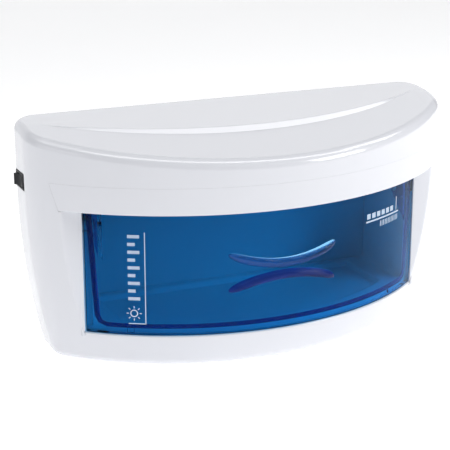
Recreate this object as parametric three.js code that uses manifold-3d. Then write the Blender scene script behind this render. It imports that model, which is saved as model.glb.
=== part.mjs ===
// Ultraviolet sterilizer cabinet: a half-moon tabletop cabinet for salon tools.
// Millimetres, +Z up, +Y towards the flat back. The origin is on the table, under the
// middle of the cabinet, and -X is the side with the power switch.
import * as THREE from "three";
import { mergeVertices } from "three/addons/utils/BufferGeometryUtils.js";
import Module from "manifold-3d";

const wasm = await Module();
wasm.setup();

// ---- Driving dimensions ---------------------------------------------------------------
const GAP = 0.3; // clearance between pieces that touch
const WALL = 3.4; // cabinet skin
const FAR = 200; // beyond every face of the cabinet, for cutting boxes

// Plan: one large front arc, a corner arc tangent to it on each side, short straight
// sides and a straight back with smaller rear corners.
const HALF_WIDTH = 186;
const BACK_Y = 69;
const REAR_R = 20;
const CORNER_R = 38.2;
const FRONT_R = 243.5;
const FRONT_CENTRE_Y = 174.5;
const CORNER_X = HALF_WIDTH - CORNER_R;
const CORNER_Y = FRONT_CENTRE_Y - Math.sqrt((FRONT_R - CORNER_R) ** 2 - CORNER_X ** 2);
const TANGENT = Math.atan2(CORNER_X, FRONT_CENTRE_Y - CORNER_Y);

// Elevation.
const RIM_Z = 1.5; // the feet hold the rim this far above the table
const BOTTOM_FILLET = 7;
const SEAM_Z = 154.2; // top edge of the visor strip; the walls are vertical above it
const LIP_Z = 132.7; // lower edge of the visor
const TOP_FILLET = 7.1;
const BOWL_INSET = 19; // how far the skin draws in from the seam to the table
const BOWL_POWER = 2.2;

// Top: a rear plane and a steeper front plane that meet at a fold. The rear plane also
// runs forward over a crescent, whose edge slopes down to the front plane at 45 degrees.
const FOLD_Y = 38;
const REAR_SLOPE = 0.11;
const FRONT_SLOPE = 0.183;
const TOP_BACK_Z = 196.4;
const FRONT_TOP_BACK_Z = TOP_BACK_Z + (FRONT_SLOPE - REAR_SLOPE) * (BACK_Y - FOLD_Y);
const REAR_TOP = { backZ: TOP_BACK_Z, slope: REAR_SLOPE };
const FRONT_TOP = { backZ: FRONT_TOP_BACK_Z, slope: FRONT_SLOPE };
const CRESCENT_R = 374; // radius of the crescent's edge at the height CRESCENT_Z
const CRESCENT_Z = 188;
const CRESCENT_FRONT_Y = -8.2;

// Door recess.
const FACET_Y = -2.3; // flat faces beside the door
const SILL_Z = 30.2; // top of the sill under the door
const MOUTH_HALF = 149.6;
const SHELF_INNER_R = 216;
const RETURN_DEPTH = 20;

// Visor strip: a thin trim let into the skin between the seam and the lip.
const STRIP_T = 1.6;
const STRIP_TOP_HALF = 173.5;
const STRIP_LOW_HALF = 168;
const STRIP_END_Y = 8; // beyond the strip's slanted ends

// Door: a vertical cylindrical sheet on two corner arms that turn on pins.
const DOOR_R = 231;
const DOOR_T = 3;
const DOOR_HALF = 149;
const DOOR_LOW_Z = SILL_Z + GAP;
const DOOR_TOP_Z = 136;
const PIVOT_Y = 8;
const PIVOT_Z = 116;
const DOOR_OPEN = THREE.MathUtils.degToRad(35); // the handle then meets the lip
const ARM_IN = 135.8;
const ARM_OUT = 138.8;
const PIN_R = 2;
const PIN_HOLE_R = 2.3;
const RIB_DEPTH = 1.8;
const RIB_W = 3.2;

// Handle: two raised bars that curve towards each other.
const BAR_HALF = 47;
const BAR_W = 7.4;
const BAR_SAG = 9.8;
const BAR_MID_Z = [86.2, 76.2];
const BAR_PROUD = 5;

// Chamber liner.
const LINER_HALF = 142;
const LINER_T = 2;
const LINER_BACK_Y = 65.3;
const LINER_FRONT_R = 225;
const FLOOR_Z = 35.5;
const CEILING_Z = 141.5;
const PAN_HALF = 120;
const PAN_DEPTH = 4;
const PAN_R = 212;
const PAN_BACK_Y = 58;

// Lamp: 16 mm tube, 288 mm between its cap faces.
const LAMP_Y = 45;
const LAMP_Z = 124;
const LAMP_R = 7.75;
const CAP_R = 8;
const CAP_FACE_X = 144.15;
const CAP_START_X = 134.3;
const CONTACT_REACH = 7.1;
const CONTACT_PITCH = 4.75;
const CONTACT_R = 1.15;

// Rear panel and base plate.
const PANEL_HALF = 150;
const PANEL_LOW_Z = 14;
const PANEL_HIGH_Z = 180;
const PANEL_IN_Y = 66;
const LEDGE_W = 6;
const BASE_FRONT_R = 212;
const BASE_HALF = 148;
const BASE_BACK_Y = 55;
const BASE_Z = [2, 4.5];
const FOOT_R = 7.5;

// Power switch.
const SWITCH_Y = 40.5;
const SWITCH_Z = 149.5;
const BEZEL_FACE_X = -186.6;
const BEZEL_SEAT_X = -184.3;
const SWITCH_BACK_X = -166;
const BEZEL_HALF = [10.5, 6.8]; // half length and half height
const SWITCH_CORE_HALF = [9.3, 6.2];
const ROCKER_PIVOT_X = -180.5;
const ROCKER_HALF_Z = 4.6;
const BLADE_PITCH = 9;
const ROCKER_TILT = THREE.MathUtils.degToRad(11);

// ---- Materials ------------------------------------------------------------------------
const material = (color, roughness, metalness = 0) =>
  new THREE.MeshStandardMaterial({ color, roughness, metalness });
const WHITE = material(0xf1f2f6, 0.22);
const WHITE_SATIN = material(0xe9eaee, 0.4);
const BLUE = new THREE.MeshStandardMaterial({
  color: 0x1d5f9e,
  roughness: 0.08,
  transparent: true,
  opacity: 0.6,
});
const BLACK = material(0x17181b, 0.35);
const RUBBER = material(0x2b2c2e, 0.8);
const STEEL = material(0xb9bcc0, 0.3, 1);
const BRASS = material(0xc9a45a, 0.35, 1);
const ALUMINIUM = material(0xd9dce0, 0.2, 1);
const GLASS = material(0xe8eef4, 0.05);
const IRON = material(0x6d7178, 0.5, 0.4);
const NYLON = material(0xdedcd2, 0.5);
const WIRE = material(0x2d4f8f, 0.5);

// ---- Solids ---------------------------------------------------------------------------
function solid(geometry) {
  const bare = geometry.clone();
  bare.deleteAttribute("normal");
  bare.deleteAttribute("uv");
  const merged = mergeVertices(bare, 1e-4);
  return new wasm.Manifold(
    new wasm.Mesh({
      numProp: 3,
      vertProperties: merged.attributes.position.array,
      triVerts: new Uint32Array(merged.index.array),
    }),
  );
}

// Cuts between touching faces can leave flakes with no volume, so only the body is kept.
function mainBody(body) {
  const pieces = body.decompose();
  return pieces.reduce((best, piece) => (piece.volume() > best.volume() ? piece : best));
}

function geometryOf(body) {
  const mesh = mainBody(body).getMesh();
  const geometry = new THREE.BufferGeometry();
  geometry.setAttribute("position", new THREE.BufferAttribute(mesh.vertProperties, 3));
  geometry.setIndex(new THREE.BufferAttribute(mesh.triVerts, 1));
  const flat = geometry.toNonIndexed();
  flat.computeVertexNormals();
  return flat;
}

const union = (...bodies) => bodies.reduce((all, body) => all.add(body));

function box(x0, x1, y0, y1, z0, z1) {
  const geometry = new THREE.BoxGeometry(x1 - x0, y1 - y0, z1 - z0);
  geometry.translate((x0 + x1) / 2, (y0 + y1) / 2, (z0 + z1) / 2);
  return solid(geometry);
}

// A rod between two places on an axis; centre gives the other two coordinates in order.
function rod(axis, centre, radius, from, to, sides = 20) {
  const geometry = new THREE.CylinderGeometry(radius, radius, to - from, sides);
  const middle = (from + to) / 2;
  if (axis === "x") {
    geometry.rotateZ(-Math.PI / 2).translate(middle, centre[0], centre[1]);
  }
  if (axis === "y") {
    geometry.translate(centre[0], middle, centre[1]);
  }
  if (axis === "z") {
    geometry.rotateX(Math.PI / 2).translate(centre[0], centre[1], middle);
  }
  return solid(geometry);
}

// A prism whose outline lies in the plane across the axis: [x, y] for z, [x, z] for y and
// [y, z] for x.
function prism(axis, outline, from, to) {
  const shape = new THREE.Shape(outline.map(([u, v]) => new THREE.Vector2(u, v)));
  const geometry = new THREE.ExtrudeGeometry(shape, {
    depth: to - from,
    bevelEnabled: false,
  });
  if (axis === "z") {
    geometry.translate(0, 0, from);
  }
  if (axis === "y") {
    geometry.rotateX(Math.PI / 2).translate(0, to, 0);
  }
  if (axis === "x") {
    const turn = new THREE.Matrix4().makeBasis(
      new THREE.Vector3(0, 1, 0),
      new THREE.Vector3(0, 0, 1),
      new THREE.Vector3(1, 0, 0),
    );
    geometry.applyMatrix4(turn).translate(from, 0, 0);
  }
  return solid(geometry);
}

// A closed skin through rings of equal count, listed from the lowest to the highest.
function loft(rings) {
  const count = rings[0].length;
  const positions = rings.flat().flatMap((p) => [p.x, p.y, p.z]);
  const index = [];
  for (let ring = 0; ring + 1 < rings.length; ring++) {
    for (let i = 0; i < count; i++) {
      const j = (i + 1) % count;
      const low = ring * count;
      const high = low + count;
      index.push(low + i, low + j, high + j);
      index.push(low + i, high + j, high + i);
    }
  }
  const top = (rings.length - 1) * count;
  for (const [a, b, c] of THREE.ShapeUtils.triangulateShape(rings[0], [])) {
    index.push(a, c, b);
  }
  for (const [a, b, c] of THREE.ShapeUtils.triangulateShape(rings.at(-1), [])) {
    index.push(top + a, top + b, top + c);
  }
  const geometry = new THREE.BufferGeometry();
  geometry.setAttribute("position", new THREE.Float32BufferAttribute(positions, 3));
  geometry.setIndex(index);
  return solid(geometry);
}

// The cylinder concentric with the front arc, between two heights.
const frontDrum = (radius, z0, z1, sides = 180) =>
  rod("z", [0, FRONT_CENTRE_Y], radius, z0, z1, sides);

const mirrored = (body) => body.mirror([1, 0, 0]);

// ---- The half-moon body ---------------------------------------------------------------
// The plan outline, drawn in by inset all round and by taper everywhere but at the back.
function outline(inset, taper = 0) {
  const FRONT_STEPS = 26;
  const CORNER_STEPS = 5;
  const points = [];
  const frontR = FRONT_R - inset - taper;
  for (let i = 0; i < FRONT_STEPS; i++) {
    const turn = TANGENT * ((2 * i) / FRONT_STEPS - 1);
    points.push([frontR * Math.sin(turn), FRONT_CENTRE_Y - frontR * Math.cos(turn)]);
  }
  const side = [];
  const addArc = (x, y, radius, from, to) => {
    for (let i = 0; i <= CORNER_STEPS; i++) {
      const turn = from + ((to - from) * i) / CORNER_STEPS;
      side.push([x + radius * Math.sin(turn), y - radius * Math.cos(turn)]);
    }
  };
  addArc(CORNER_X, CORNER_Y, CORNER_R - inset - taper, TANGENT, Math.PI / 2);
  const rearX = HALF_WIDTH - taper - REAR_R;
  addArc(rearX, BACK_Y - REAR_R, REAR_R - inset, Math.PI / 2, Math.PI);
  points.push(...side);
  points.push(...side.slice(1).reverse().map(([x, y]) => [-x, y]));
  return points;
}

const bowl = (z) =>
  BOWL_INSET * Math.pow(Math.max(0, (SEAM_Z - z) / (SEAM_Z - RIM_Z)), BOWL_POWER);

const topHeight = (y, top) => top.backZ - top.slope * (BACK_Y - y);

const levelRing = (inset, z) =>
  outline(inset, bowl(z)).map(([x, y]) => new THREE.Vector3(x, y, z));

const tiltedRing = (inset, drop, top) =>
  outline(inset).map(([x, y]) => new THREE.Vector3(x, y, topHeight(y, top) - drop));

// The whole volume, drawn in by skin, under one plane of the top.
function bodyVolume(skin, top) {
  const rings = [];
  const lowR = BOTTOM_FILLET - skin;
  const highR = TOP_FILLET - skin;
  for (const turn of [0, 30, 60, 90].map(THREE.MathUtils.degToRad)) {
    const z = RIM_Z + skin + lowR * (1 - Math.cos(turn));
    rings.push(levelRing(skin + lowR * (1 - Math.sin(turn)), z));
  }
  const BOWL_STEPS = 6;
  const start = RIM_Z + BOTTOM_FILLET;
  for (let i = 1; i <= BOWL_STEPS; i++) {
    rings.push(levelRing(skin, start + ((SEAM_Z - start) * i) / BOWL_STEPS));
  }
  for (const turn of [0, 22.5, 45, 67.5, 90].map(THREE.MathUtils.degToRad)) {
    const inset = skin + highR * (1 - Math.cos(turn));
    rings.push(tiltedRing(inset, skin + highR * (1 - Math.sin(turn)), top));
  }
  return loft(rings);
}

// The space behind the crescent's edge, drawn in by skin.
function crescentCone(skin) {
  const SIDES = 150;
  const LOW_Z = 150;
  const HIGH_Z = 210;
  const radiusAt = (z) => CRESCENT_R - skin * Math.SQRT2 + CRESCENT_Z - z;
  const cone = new THREE.CylinderGeometry(
    radiusAt(HIGH_Z),
    radiusAt(LOW_Z),
    HIGH_Z - LOW_Z,
    SIDES,
  );
  cone.rotateX(Math.PI / 2);
  cone.translate(0, CRESCENT_FRONT_Y + CRESCENT_R, (LOW_Z + HIGH_Z) / 2);
  return solid(cone);
}

// The volume under both planes of the top, with its raised rear crescent.
function steppedVolume(skin) {
  const underRear = bodyVolume(skin, REAR_TOP);
  const underFront = bodyVolume(skin, FRONT_TOP);
  return underRear.intersect(underFront.add(underRear.intersect(crescentCone(skin))));
}

const outerVolume = steppedVolume(0);
const innerVolume = steppedVolume(WALL);

// The band that the visor strip fills, with slanted ends; grow widens it for the seat.
function visorBand(grow) {
  const band = [
    [-STRIP_LOW_HALF - grow, LIP_Z - grow],
    [STRIP_LOW_HALF + grow, LIP_Z - grow],
    [STRIP_TOP_HALF + grow, SEAM_Z + grow],
    [-STRIP_TOP_HALF - grow, SEAM_Z + grow],
  ];
  return prism("y", band, -FAR, STRIP_END_Y);
}

const SCREW_HOLE_R = 1.9;

// Rear panel screws sit on the ledge, near the corners of the panel.
const REAR_SCREWS = [
  [-147, 30],
  [147, 30],
  [-147, 168],
  [147, 168],
];

// Base screws sit on the ledge round the base opening.
const BASE_SCREWS = [
  [-105, -3.5],
  [105, -3.5],
  [-110, 49.5],
  [110, 49.5],
];

// The space in front of the door, and the walls that line it.
function recessWalls() {
  const DEEP_Y = 40;
  const RETURN_T = 2.6;
  const cut = box(-FAR, FAR, -FAR, FACET_Y, SILL_Z, LIP_Z);
  const grown = box(-FAR, FAR, -FAR, FACET_Y + WALL, SILL_Z - WALL, LIP_Z + WALL);
  const walls = outerVolume.intersect(grown).subtract(cut);
  const mouth = box(-MOUTH_HALF, MOUTH_HALF, -FAR, DEEP_Y, SILL_Z, LIP_Z + WALL + 1);
  const behindShelf = frontDrum(SHELF_INNER_R, SILL_Z - WALL - 1, SILL_Z + 1).intersect(
    box(-MOUTH_HALF, MOUTH_HALF, -FAR, DEEP_Y, 0, FAR),
  );
  const openings = innerVolume.intersect(union(mouth, behindShelf));
  const side = box(
    MOUTH_HALF,
    MOUTH_HALF + RETURN_T,
    FACET_Y + 0.5,
    FACET_Y + RETURN_DEPTH,
    SILL_Z - WALL,
    LIP_Z + WALL,
  );
  return { cut, walls: walls.subtract(openings).add(side).add(mirrored(side)) };
}

// The ledge that the rear panel is screwed to; it reaches past the panel into the skin.
function rearLedge() {
  const LEDGE_T = 2.8;
  const low = PANEL_LOW_Z - 7;
  const high = PANEL_HIGH_Z + 5;
  const reach = PANEL_HALF + 3;
  const face = PANEL_IN_Y - GAP;
  const frame = box(-reach, reach, face - LEDGE_T, face, low, high);
  const clear = box(
    -PANEL_HALF + LEDGE_W,
    PANEL_HALF - LEDGE_W,
    face - LEDGE_T - 1,
    face + 1,
    PANEL_LOW_Z + LEDGE_W,
    PANEL_HIGH_Z - LEDGE_W,
  );
  return frame.subtract(clear).intersect(outerVolume);
}

// The base opening between two heights, drawn in by inset.
function baseRegion(inset, z0, z1) {
  const half = BASE_HALF - inset;
  return frontDrum(BASE_FRONT_R - inset, z0, z1).intersect(
    box(-half, half, -FAR, BASE_BACK_Y - inset, z0, z1),
  );
}

// The ledge that the base plate is screwed to, from 5 mm outside the opening to 10 inside.
function baseLedge() {
  const LEDGE_TOP_Z = 7.4;
  const ring = baseRegion(-5, BASE_Z[1] + GAP, LEDGE_TOP_Z);
  return ring.subtract(baseRegion(10, 0, 10)).intersect(outerVolume);
}

// A clearance hole for a screw along Y in the rear, or along Z in the base.
const rearHole = ([x, z]) => rod("y", [x, z], SCREW_HOLE_R, 60, 75, 12);
const baseHole = ([x, y]) => rod("z", [x, y], SCREW_HOLE_R, 0, 9, 12);
const deckHole = ([x, y]) => rod("z", [x, y], SCREW_HOLE_R, 138, 150, 12);

function outerShell() {
  const { cut, walls } = recessWalls();
  let body = outerVolume.subtract(innerVolume).subtract(cut).add(walls);
  // The slot that the closed door fills, down to the sill.
  const slotInner = DOOR_R - DOOR_T - RIB_DEPTH - 1;
  body = body.subtract(
    drumSheet(DOOR_R + 0.6, slotInner, SILL_Z, LIP_Z + WALL + 1, DOOR_HALF + 0.6),
  );
  // The seat of the visor strip is deeper than the strip by the fitting gap.
  body = body.subtract(visorBand(GAP).subtract(visorCore(STRIP_T + GAP)));
  body = body.subtract(
    box(-PANEL_HALF, PANEL_HALF, 60, FAR, PANEL_LOW_Z, PANEL_HIGH_Z),
  );
  body = body.subtract(baseRegion(0, -1, 10));
  body = body.add(rearLedge()).add(baseLedge());
  for (const centre of REAR_SCREWS) {
    body = body.subtract(rearHole(centre));
  }
  for (const centre of BASE_SCREWS) {
    body = body.subtract(baseHole(centre));
  }
  return body.subtract(switchCutout());
}

// The volume drawn in by depth, used to split the visor strip from the skin behind it.
function visorCore(depth) {
  const z0 = LIP_Z - 3;
  const z1 = SEAM_Z + 3;
  return loft([levelRing(depth, z0), levelRing(depth, (z0 + z1) / 2), levelRing(depth, z1)]);
}

function visorStrip() {
  return outerVolume.intersect(visorBand(0)).subtract(visorCore(STRIP_T));
}

// A block round the axis of the switch, with the given half length and half height.
const switchBlock = (x0, x1, halfY, halfZ) =>
  box(x0, x1, SWITCH_Y - halfY, SWITCH_Y + halfY, SWITCH_Z - halfZ, SWITCH_Z + halfZ);

function switchCutout() {
  const [bezelY, bezelZ] = BEZEL_HALF;
  const [coreY, coreZ] = SWITCH_CORE_HALF;
  const seat = switchBlock(-FAR, BEZEL_SEAT_X + GAP, bezelY + GAP, bezelZ + GAP);
  const hole = switchBlock(-FAR, WALL - HALF_WIDTH + 8, coreY + 0.4, coreZ + 0.4);
  return seat.add(hole);
}

// ---- Rear panel, base plate and feet --------------------------------------------------
const GLAND_X = 112;
const GLAND_Z = 160;

const GLAND_HOLE_R = 6.2;
const COVER_GAP = 0.4; // round the rear panel and the base plate

function rearPanel() {
  const VENTS = 9;
  const VENT_PITCH = 12;
  const VENT_W = 4;
  const FIRST_VENT_X = -66;
  const VENT_Z = [151, 171];
  const edge = PANEL_HALF - COVER_GAP;
  const low = PANEL_LOW_Z + COVER_GAP;
  let panel = box(-edge, edge, PANEL_IN_Y, BACK_Y, low, PANEL_HIGH_Z - COVER_GAP);
  for (let i = 0; i < VENTS; i++) {
    const x = FIRST_VENT_X + i * VENT_PITCH;
    panel = panel.subtract(box(x, x + VENT_W, 60, FAR, ...VENT_Z));
  }
  for (const centre of REAR_SCREWS) {
    panel = panel.subtract(rearHole(centre));
  }
  return panel.subtract(rod("y", [GLAND_X, GLAND_Z], GLAND_HOLE_R, 60, FAR));
}

function basePlate() {
  let plate = baseRegion(COVER_GAP, ...BASE_Z);
  for (const centre of BASE_SCREWS) {
    plate = plate.subtract(baseHole(centre));
  }
  return plate;
}

// A pan-head screw along +Y or +Z, its head's underside at seat and its point at end.
function screw(axis, centre, seat, end, outward) {
  const HEAD_R = 3.1;
  const HEAD_T = 1.4;
  const SHANK_R = 1.5;
  const head = rod(
    axis,
    centre,
    HEAD_R,
    Math.min(seat, seat + outward * HEAD_T),
    Math.max(seat, seat + outward * HEAD_T),
    14,
  );
  const shank = rod(
    axis,
    centre,
    SHANK_R,
    Math.min(seat + outward * 0.5, end),
    Math.max(seat + outward * 0.5, end),
    10,
  );
  return head.add(shank);
}

const FEET = {
  foot_front_left: [-70, -16],
  foot_front_right: [70, -16],
  foot_rear_left: [-128, 42],
  foot_rear_right: [128, 42],
};

// ---- Chamber liner --------------------------------------------------------------------
const doorInnerY = (x) =>
  FRONT_CENTRE_Y - Math.sqrt((DOOR_R - DOOR_T) ** 2 - x * x);

// The ceiling ends behind the inner face of the door wherever that face swings: it comes
// nearest where it touches its circle about the pins, or else at the end of its travel.
function ceilingFrontY(x) {
  const CLEARANCE = 1.6;
  const reach = PIVOT_Y - doorInnerY(x) - RIB_DEPTH - CLEARANCE;
  const rise = CEILING_Z + LINER_T - PIVOT_Z;
  const turn = Math.min(DOOR_OPEN, Math.asin(Math.min(1, rise / reach)));
  return PIVOT_Y + (rise * Math.sin(turn) - reach) / Math.cos(turn);
}

function ceilingNotch() {
  const STEPS = 28;
  const edge = [];
  for (let i = 0; i <= STEPS; i++) {
    const x = -LINER_HALF - 1 + ((2 * LINER_HALF + 2) * i) / STEPS;
    edge.push([x, ceilingFrontY(x)]);
  }
  const outside = [
    [LINER_HALF + 1, -FAR],
    [-LINER_HALF - 1, -FAR],
  ];
  return prism("z", [...outside, ...edge], CEILING_Z - 0.1, CEILING_Z + 5);
}

// The pan outline: a front arc and three straight sides, drawn in by inset.
function panOutline(inset) {
  const STEPS = 16;
  const half = PAN_HALF - inset;
  const radius = PAN_R - inset;
  const points = [];
  for (let i = 0; i <= STEPS; i++) {
    const x = -half + (2 * half * i) / STEPS;
    points.push([x, FRONT_CENTRE_Y - Math.sqrt(radius * radius - x * x)]);
  }
  points.push([half, PAN_BACK_Y - inset], [-half, PAN_BACK_Y - inset]);
  return points;
}

const panRing = (inset, z) =>
  panOutline(inset).map(([x, y]) => new THREE.Vector3(x, y, z));

// The side walls give way to the door's top corners, but keep an ear round each pin.
function doorCornerNotch(inner, top) {
  const EAR_R = 9.5;
  const NOTCH_Y = 13;
  const NOTCH_Z = 108;
  const ear = rod("x", [PIVOT_Y, PIVOT_Z], EAR_R, -FAR, FAR, 28);
  const notch = box(-FAR, FAR, -FAR, NOTCH_Y, NOTCH_Z, top).subtract(ear);
  return notch.subtract(box(-inner, inner, -FAR, FAR, 0, FAR));
}

function chamberLiner() {
  const BOSS_R = 5;
  const BOSS_END_X = 148;
  const FLANGE_Y = [3, 5];
  const FLANGE_TOP_Z = 112;
  const LAMP_HOLE_R = 10.5;
  const z0 = FLOOR_Z - LINER_T;
  const z1 = CEILING_Z + LINER_T;
  const inner = LINER_HALF - LINER_T;
  const drum = frontDrum(LINER_FRONT_R, 0, FAR);
  let body = box(-LINER_HALF, LINER_HALF, -FAR, LINER_BACK_Y, z0, z1).intersect(drum);
  body = body.add(loft([panRing(PAN_DEPTH - 2, z0 - PAN_DEPTH), panRing(-2, z0 + 0.1)]));
  body = body.subtract(box(-inner, inner, -FAR, FAR, FLOOR_Z, CEILING_Z));
  body = body.subtract(
    loft([panRing(PAN_DEPTH, FLOOR_Z - PAN_DEPTH), panRing(0, FLOOR_Z + 0.01)]),
  );
  body = body.subtract(ceilingNotch());
  body = body.subtract(doorCornerNotch(inner, z1 + 1));
  const flangeEnd = MOUTH_HALF - 0.4;
  const frontLip = drum
    .subtract(frontDrum(LINER_FRONT_R - LINER_T, 0, FAR))
    .intersect(box(-flangeEnd, flangeEnd, -FAR, 20, SILL_Z + GAP, z0 + 0.5));
  const flange = box(
    LINER_HALF - 0.5,
    flangeEnd,
    FLANGE_Y[0],
    FLANGE_Y[1],
    SILL_Z + GAP,
    FLANGE_TOP_Z,
  );
  const boss = rod("x", [PIVOT_Y, PIVOT_Z], BOSS_R, LINER_HALF - 0.5, BOSS_END_X, 20);
  body = union(body, frontLip, flange, mirrored(flange), boss, mirrored(boss));
  body = body.subtract(rod("x", [PIVOT_Y, PIVOT_Z], PIN_HOLE_R, -FAR, FAR, 20));
  body = body.subtract(rod("x", [LAMP_Y, LAMP_Z], LAMP_HOLE_R, -FAR, FAR, 24));
  for (const centre of BALLAST_SCREWS) {
    body = body.subtract(deckHole(centre));
  }
  return body;
}

// ---- Door -----------------------------------------------------------------------------
const doorSector = (z0, z1, half) => {
  const FAN_R = 300;
  const reach = (half / DOOR_R) * FAN_R;
  const depth = Math.sqrt(FAN_R * FAN_R - reach * reach);
  const fan = [
    [0, FRONT_CENTRE_Y],
    [-reach, FRONT_CENTRE_Y - depth],
    [reach, FRONT_CENTRE_Y - depth],
  ];
  return prism("z", fan, z0, z1);
};

function drumSheet(outerR, innerR, z0, z1, half) {
  const sheet = frontDrum(outerR, z0, z1).subtract(frontDrum(innerR, z0 - 1, z1 + 1));
  return sheet.intersect(doorSector(z0 - 2, z1 + 2, half));
}

// The stiffening rib follows the sides and the bottom of the sheet, inside.
function doorRib() {
  const outerR = DOOR_R - DOOR_T + 0.5;
  const innerR = DOOR_R - DOOR_T - RIB_DEPTH;
  const low = DOOR_LOW_Z + 5;
  const band = [
    [-146, DOOR_TOP_Z],
    [-141.5, low + 8],
    [-134, low],
    [134, low],
    [141.5, low + 8],
    [146, DOOR_TOP_Z],
    [146 - RIB_W, DOOR_TOP_Z],
    [141.5 - RIB_W, low + 9],
    [133, low + RIB_W],
    [-133, low + RIB_W],
    [RIB_W - 141.5, low + 9],
    [RIB_W - 146, DOOR_TOP_Z],
  ];
  return drumSheet(outerR, innerR, low - 1, DOOR_TOP_Z, DOOR_HALF).intersect(
    prism("y", band, -FAR, FAR),
  );
}

// One raised bar; bend is +1 where its ends rise and -1 where they fall.
function handleBar(midZ, bend) {
  const STEPS = 14;
  const upper = [];
  const lower = [];
  for (let i = 0; i <= STEPS; i++) {
    const t = (2 * i) / STEPS - 1;
    const z = midZ + bend * BAR_SAG * t * t;
    const half = (BAR_W / 2) * Math.sqrt(Math.max(0.02, 1 - Math.pow(Math.abs(t), 5)));
    upper.push([BAR_HALF * t, z + half]);
    lower.push([BAR_HALF * t, z - half]);
  }
  const bar = prism("y", [...lower, ...upper.reverse()], -FAR, 0);
  const shell = frontDrum(DOOR_R + BAR_PROUD, 0, FAR).subtract(
    frontDrum(DOOR_R - 0.5, -1, FAR + 1),
  );
  return bar.intersect(shell);
}

function doorArm() {
  const side = [
    [-8.5, 90],
    [12.5, 112],
    [12.5, 122],
    [2, 134],
    [-8.5, 134],
  ];
  return prism("x", side, ARM_IN, ARM_OUT).intersect(frontDrum(DOOR_R - 1, 0, FAR));
}

function doorPanel() {
  const sheet = drumSheet(DOOR_R, DOOR_R - DOOR_T, DOOR_LOW_Z, DOOR_TOP_Z, DOOR_HALF);
  const arm = doorArm();
  let door = union(
    sheet,
    doorRib(),
    handleBar(BAR_MID_Z[0], 1),
    handleBar(BAR_MID_Z[1], -1),
    arm,
    mirrored(arm),
  );
  const NUB_X = 118;
  const NUB_R = 3;
  for (const x of [-NUB_X, NUB_X]) {
    const centre = [x, doorInnerY(x)];
    const nub = rod("z", centre, NUB_R, DOOR_LOW_Z + 1, DOOR_LOW_Z + 5.5, 16);
    const limit = frontDrum(DOOR_R - 1, 0, FAR).subtract(
      frontDrum(DOOR_R - DOOR_T - RIB_DEPTH, 0, FAR),
    );
    door = door.add(nub.intersect(limit));
  }
  return door.subtract(rod("x", [PIVOT_Y, PIVOT_Z], PIN_HOLE_R, -FAR, FAR, 24));
}

// A hinge pin for the right-hand side: a head inside the arm and a shank into the boss.
function hingePin() {
  const HEAD_R = 3.6;
  const HEAD_T = 1.5;
  const END_X = 147;
  const seat = ARM_IN - GAP;
  const head = rod("x", [PIVOT_Y, PIVOT_Z], HEAD_R, seat - HEAD_T, seat, 18);
  const shank = rod("x", [PIVOT_Y, PIVOT_Z], PIN_R, seat - HEAD_T / 2, END_X, 18);
  return head.add(shank);
}

// ---- Lamp, holders and reflector ------------------------------------------------------
function lampCap() {
  const cap = rod("x", [LAMP_Y, LAMP_Z], CAP_R, CAP_START_X, CAP_FACE_X, 24);
  const contact = (side) =>
    rod(
      "x",
      [LAMP_Y, LAMP_Z + (side * CONTACT_PITCH) / 2],
      CONTACT_R,
      CAP_FACE_X - 1,
      CAP_FACE_X + CONTACT_REACH,
      10,
    );
  return union(cap, contact(-1), contact(1));
}

function lampHolder() {
  const HOLDER_END_X = 158;
  const HALF_DEPTH = 9;
  const HOLDER_Z = [112, 135];
  const POCKET_R = 9;
  const SOCKET_R = 4.2;
  const start = LINER_HALF + GAP;
  const socketEnd = CAP_FACE_X + CONTACT_REACH + 1.35;
  const block = box(
    start,
    HOLDER_END_X,
    LAMP_Y - HALF_DEPTH,
    LAMP_Y + HALF_DEPTH,
    ...HOLDER_Z,
  );
  const pocket = rod("x", [LAMP_Y, LAMP_Z], POCKET_R, start - 1, CAP_FACE_X + 0.5, 24);
  const socket = rod("x", [LAMP_Y, LAMP_Z], SOCKET_R, start - 1, socketEnd, 18);
  return block.subtract(pocket).subtract(socket);
}

// A folded sheet: a flat top and two flanks that spread downwards.
function lampReflector() {
  const SHEET = 0.9;
  const HALF = 133;
  const LOW_Z = 128;
  const FOLD_YS = [33, 57];
  const EDGE_YS = [22, 63.5];
  const top = CEILING_Z - GAP;
  const outside = [
    [EDGE_YS[0], LOW_Z],
    [FOLD_YS[0], top],
    [FOLD_YS[1], top],
    [EDGE_YS[1], LOW_Z],
  ];
  const inside = [
    [EDGE_YS[1] - 1.2 * SHEET, LOW_Z],
    [FOLD_YS[1] - SHEET / 2, top - SHEET],
    [FOLD_YS[0] + SHEET / 2, top - SHEET],
    [EDGE_YS[0] + 1.2 * SHEET, LOW_Z],
  ];
  return prism("x", [...outside, ...inside].reverse(), -HALF, HALF);
}

// ---- Electrical pieces above the ceiling ----------------------------------------------
const DECK_Z = CEILING_Z + LINER_T + GAP;
const BALLAST = { x0: -70, x1: 40, y0: 24, y1: 60, top: DECK_Z + 26 };
const BALLAST_SCREWS = [
  [-77, 42],
  [47, 42],
];

function ballast() {
  const { x0, x1, y0, y1, top } = BALLAST;
  const plate = box(x0 - 13, x1 + 13, y0 + 6, y1 - 6, DECK_Z, DECK_Z + 2);
  const core = box(x0 + 8, x1 - 8, y0, y1, DECK_Z, top);
  const coil = box(x0, x1, y0 + 5, y1 - 5, DECK_Z, top - 5);
  let body = union(plate, core, coil);
  for (const centre of BALLAST_SCREWS) {
    body = body.subtract(deckHole(centre));
  }
  return body;
}

const STARTER = [82, 42];

const SOCKET_TOP_Z = DECK_Z + 7;

function starterSocket() {
  const HALF = 13;
  const WELL_R = 9.4;
  const [x, y] = STARTER;
  const block = box(x - HALF, x + HALF, y - HALF, y + HALF, DECK_Z, SOCKET_TOP_Z);
  const well = rod("z", STARTER, WELL_R, DECK_Z + 1.5, SOCKET_TOP_Z + 1, 20);
  return block.subtract(well);
}

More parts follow.
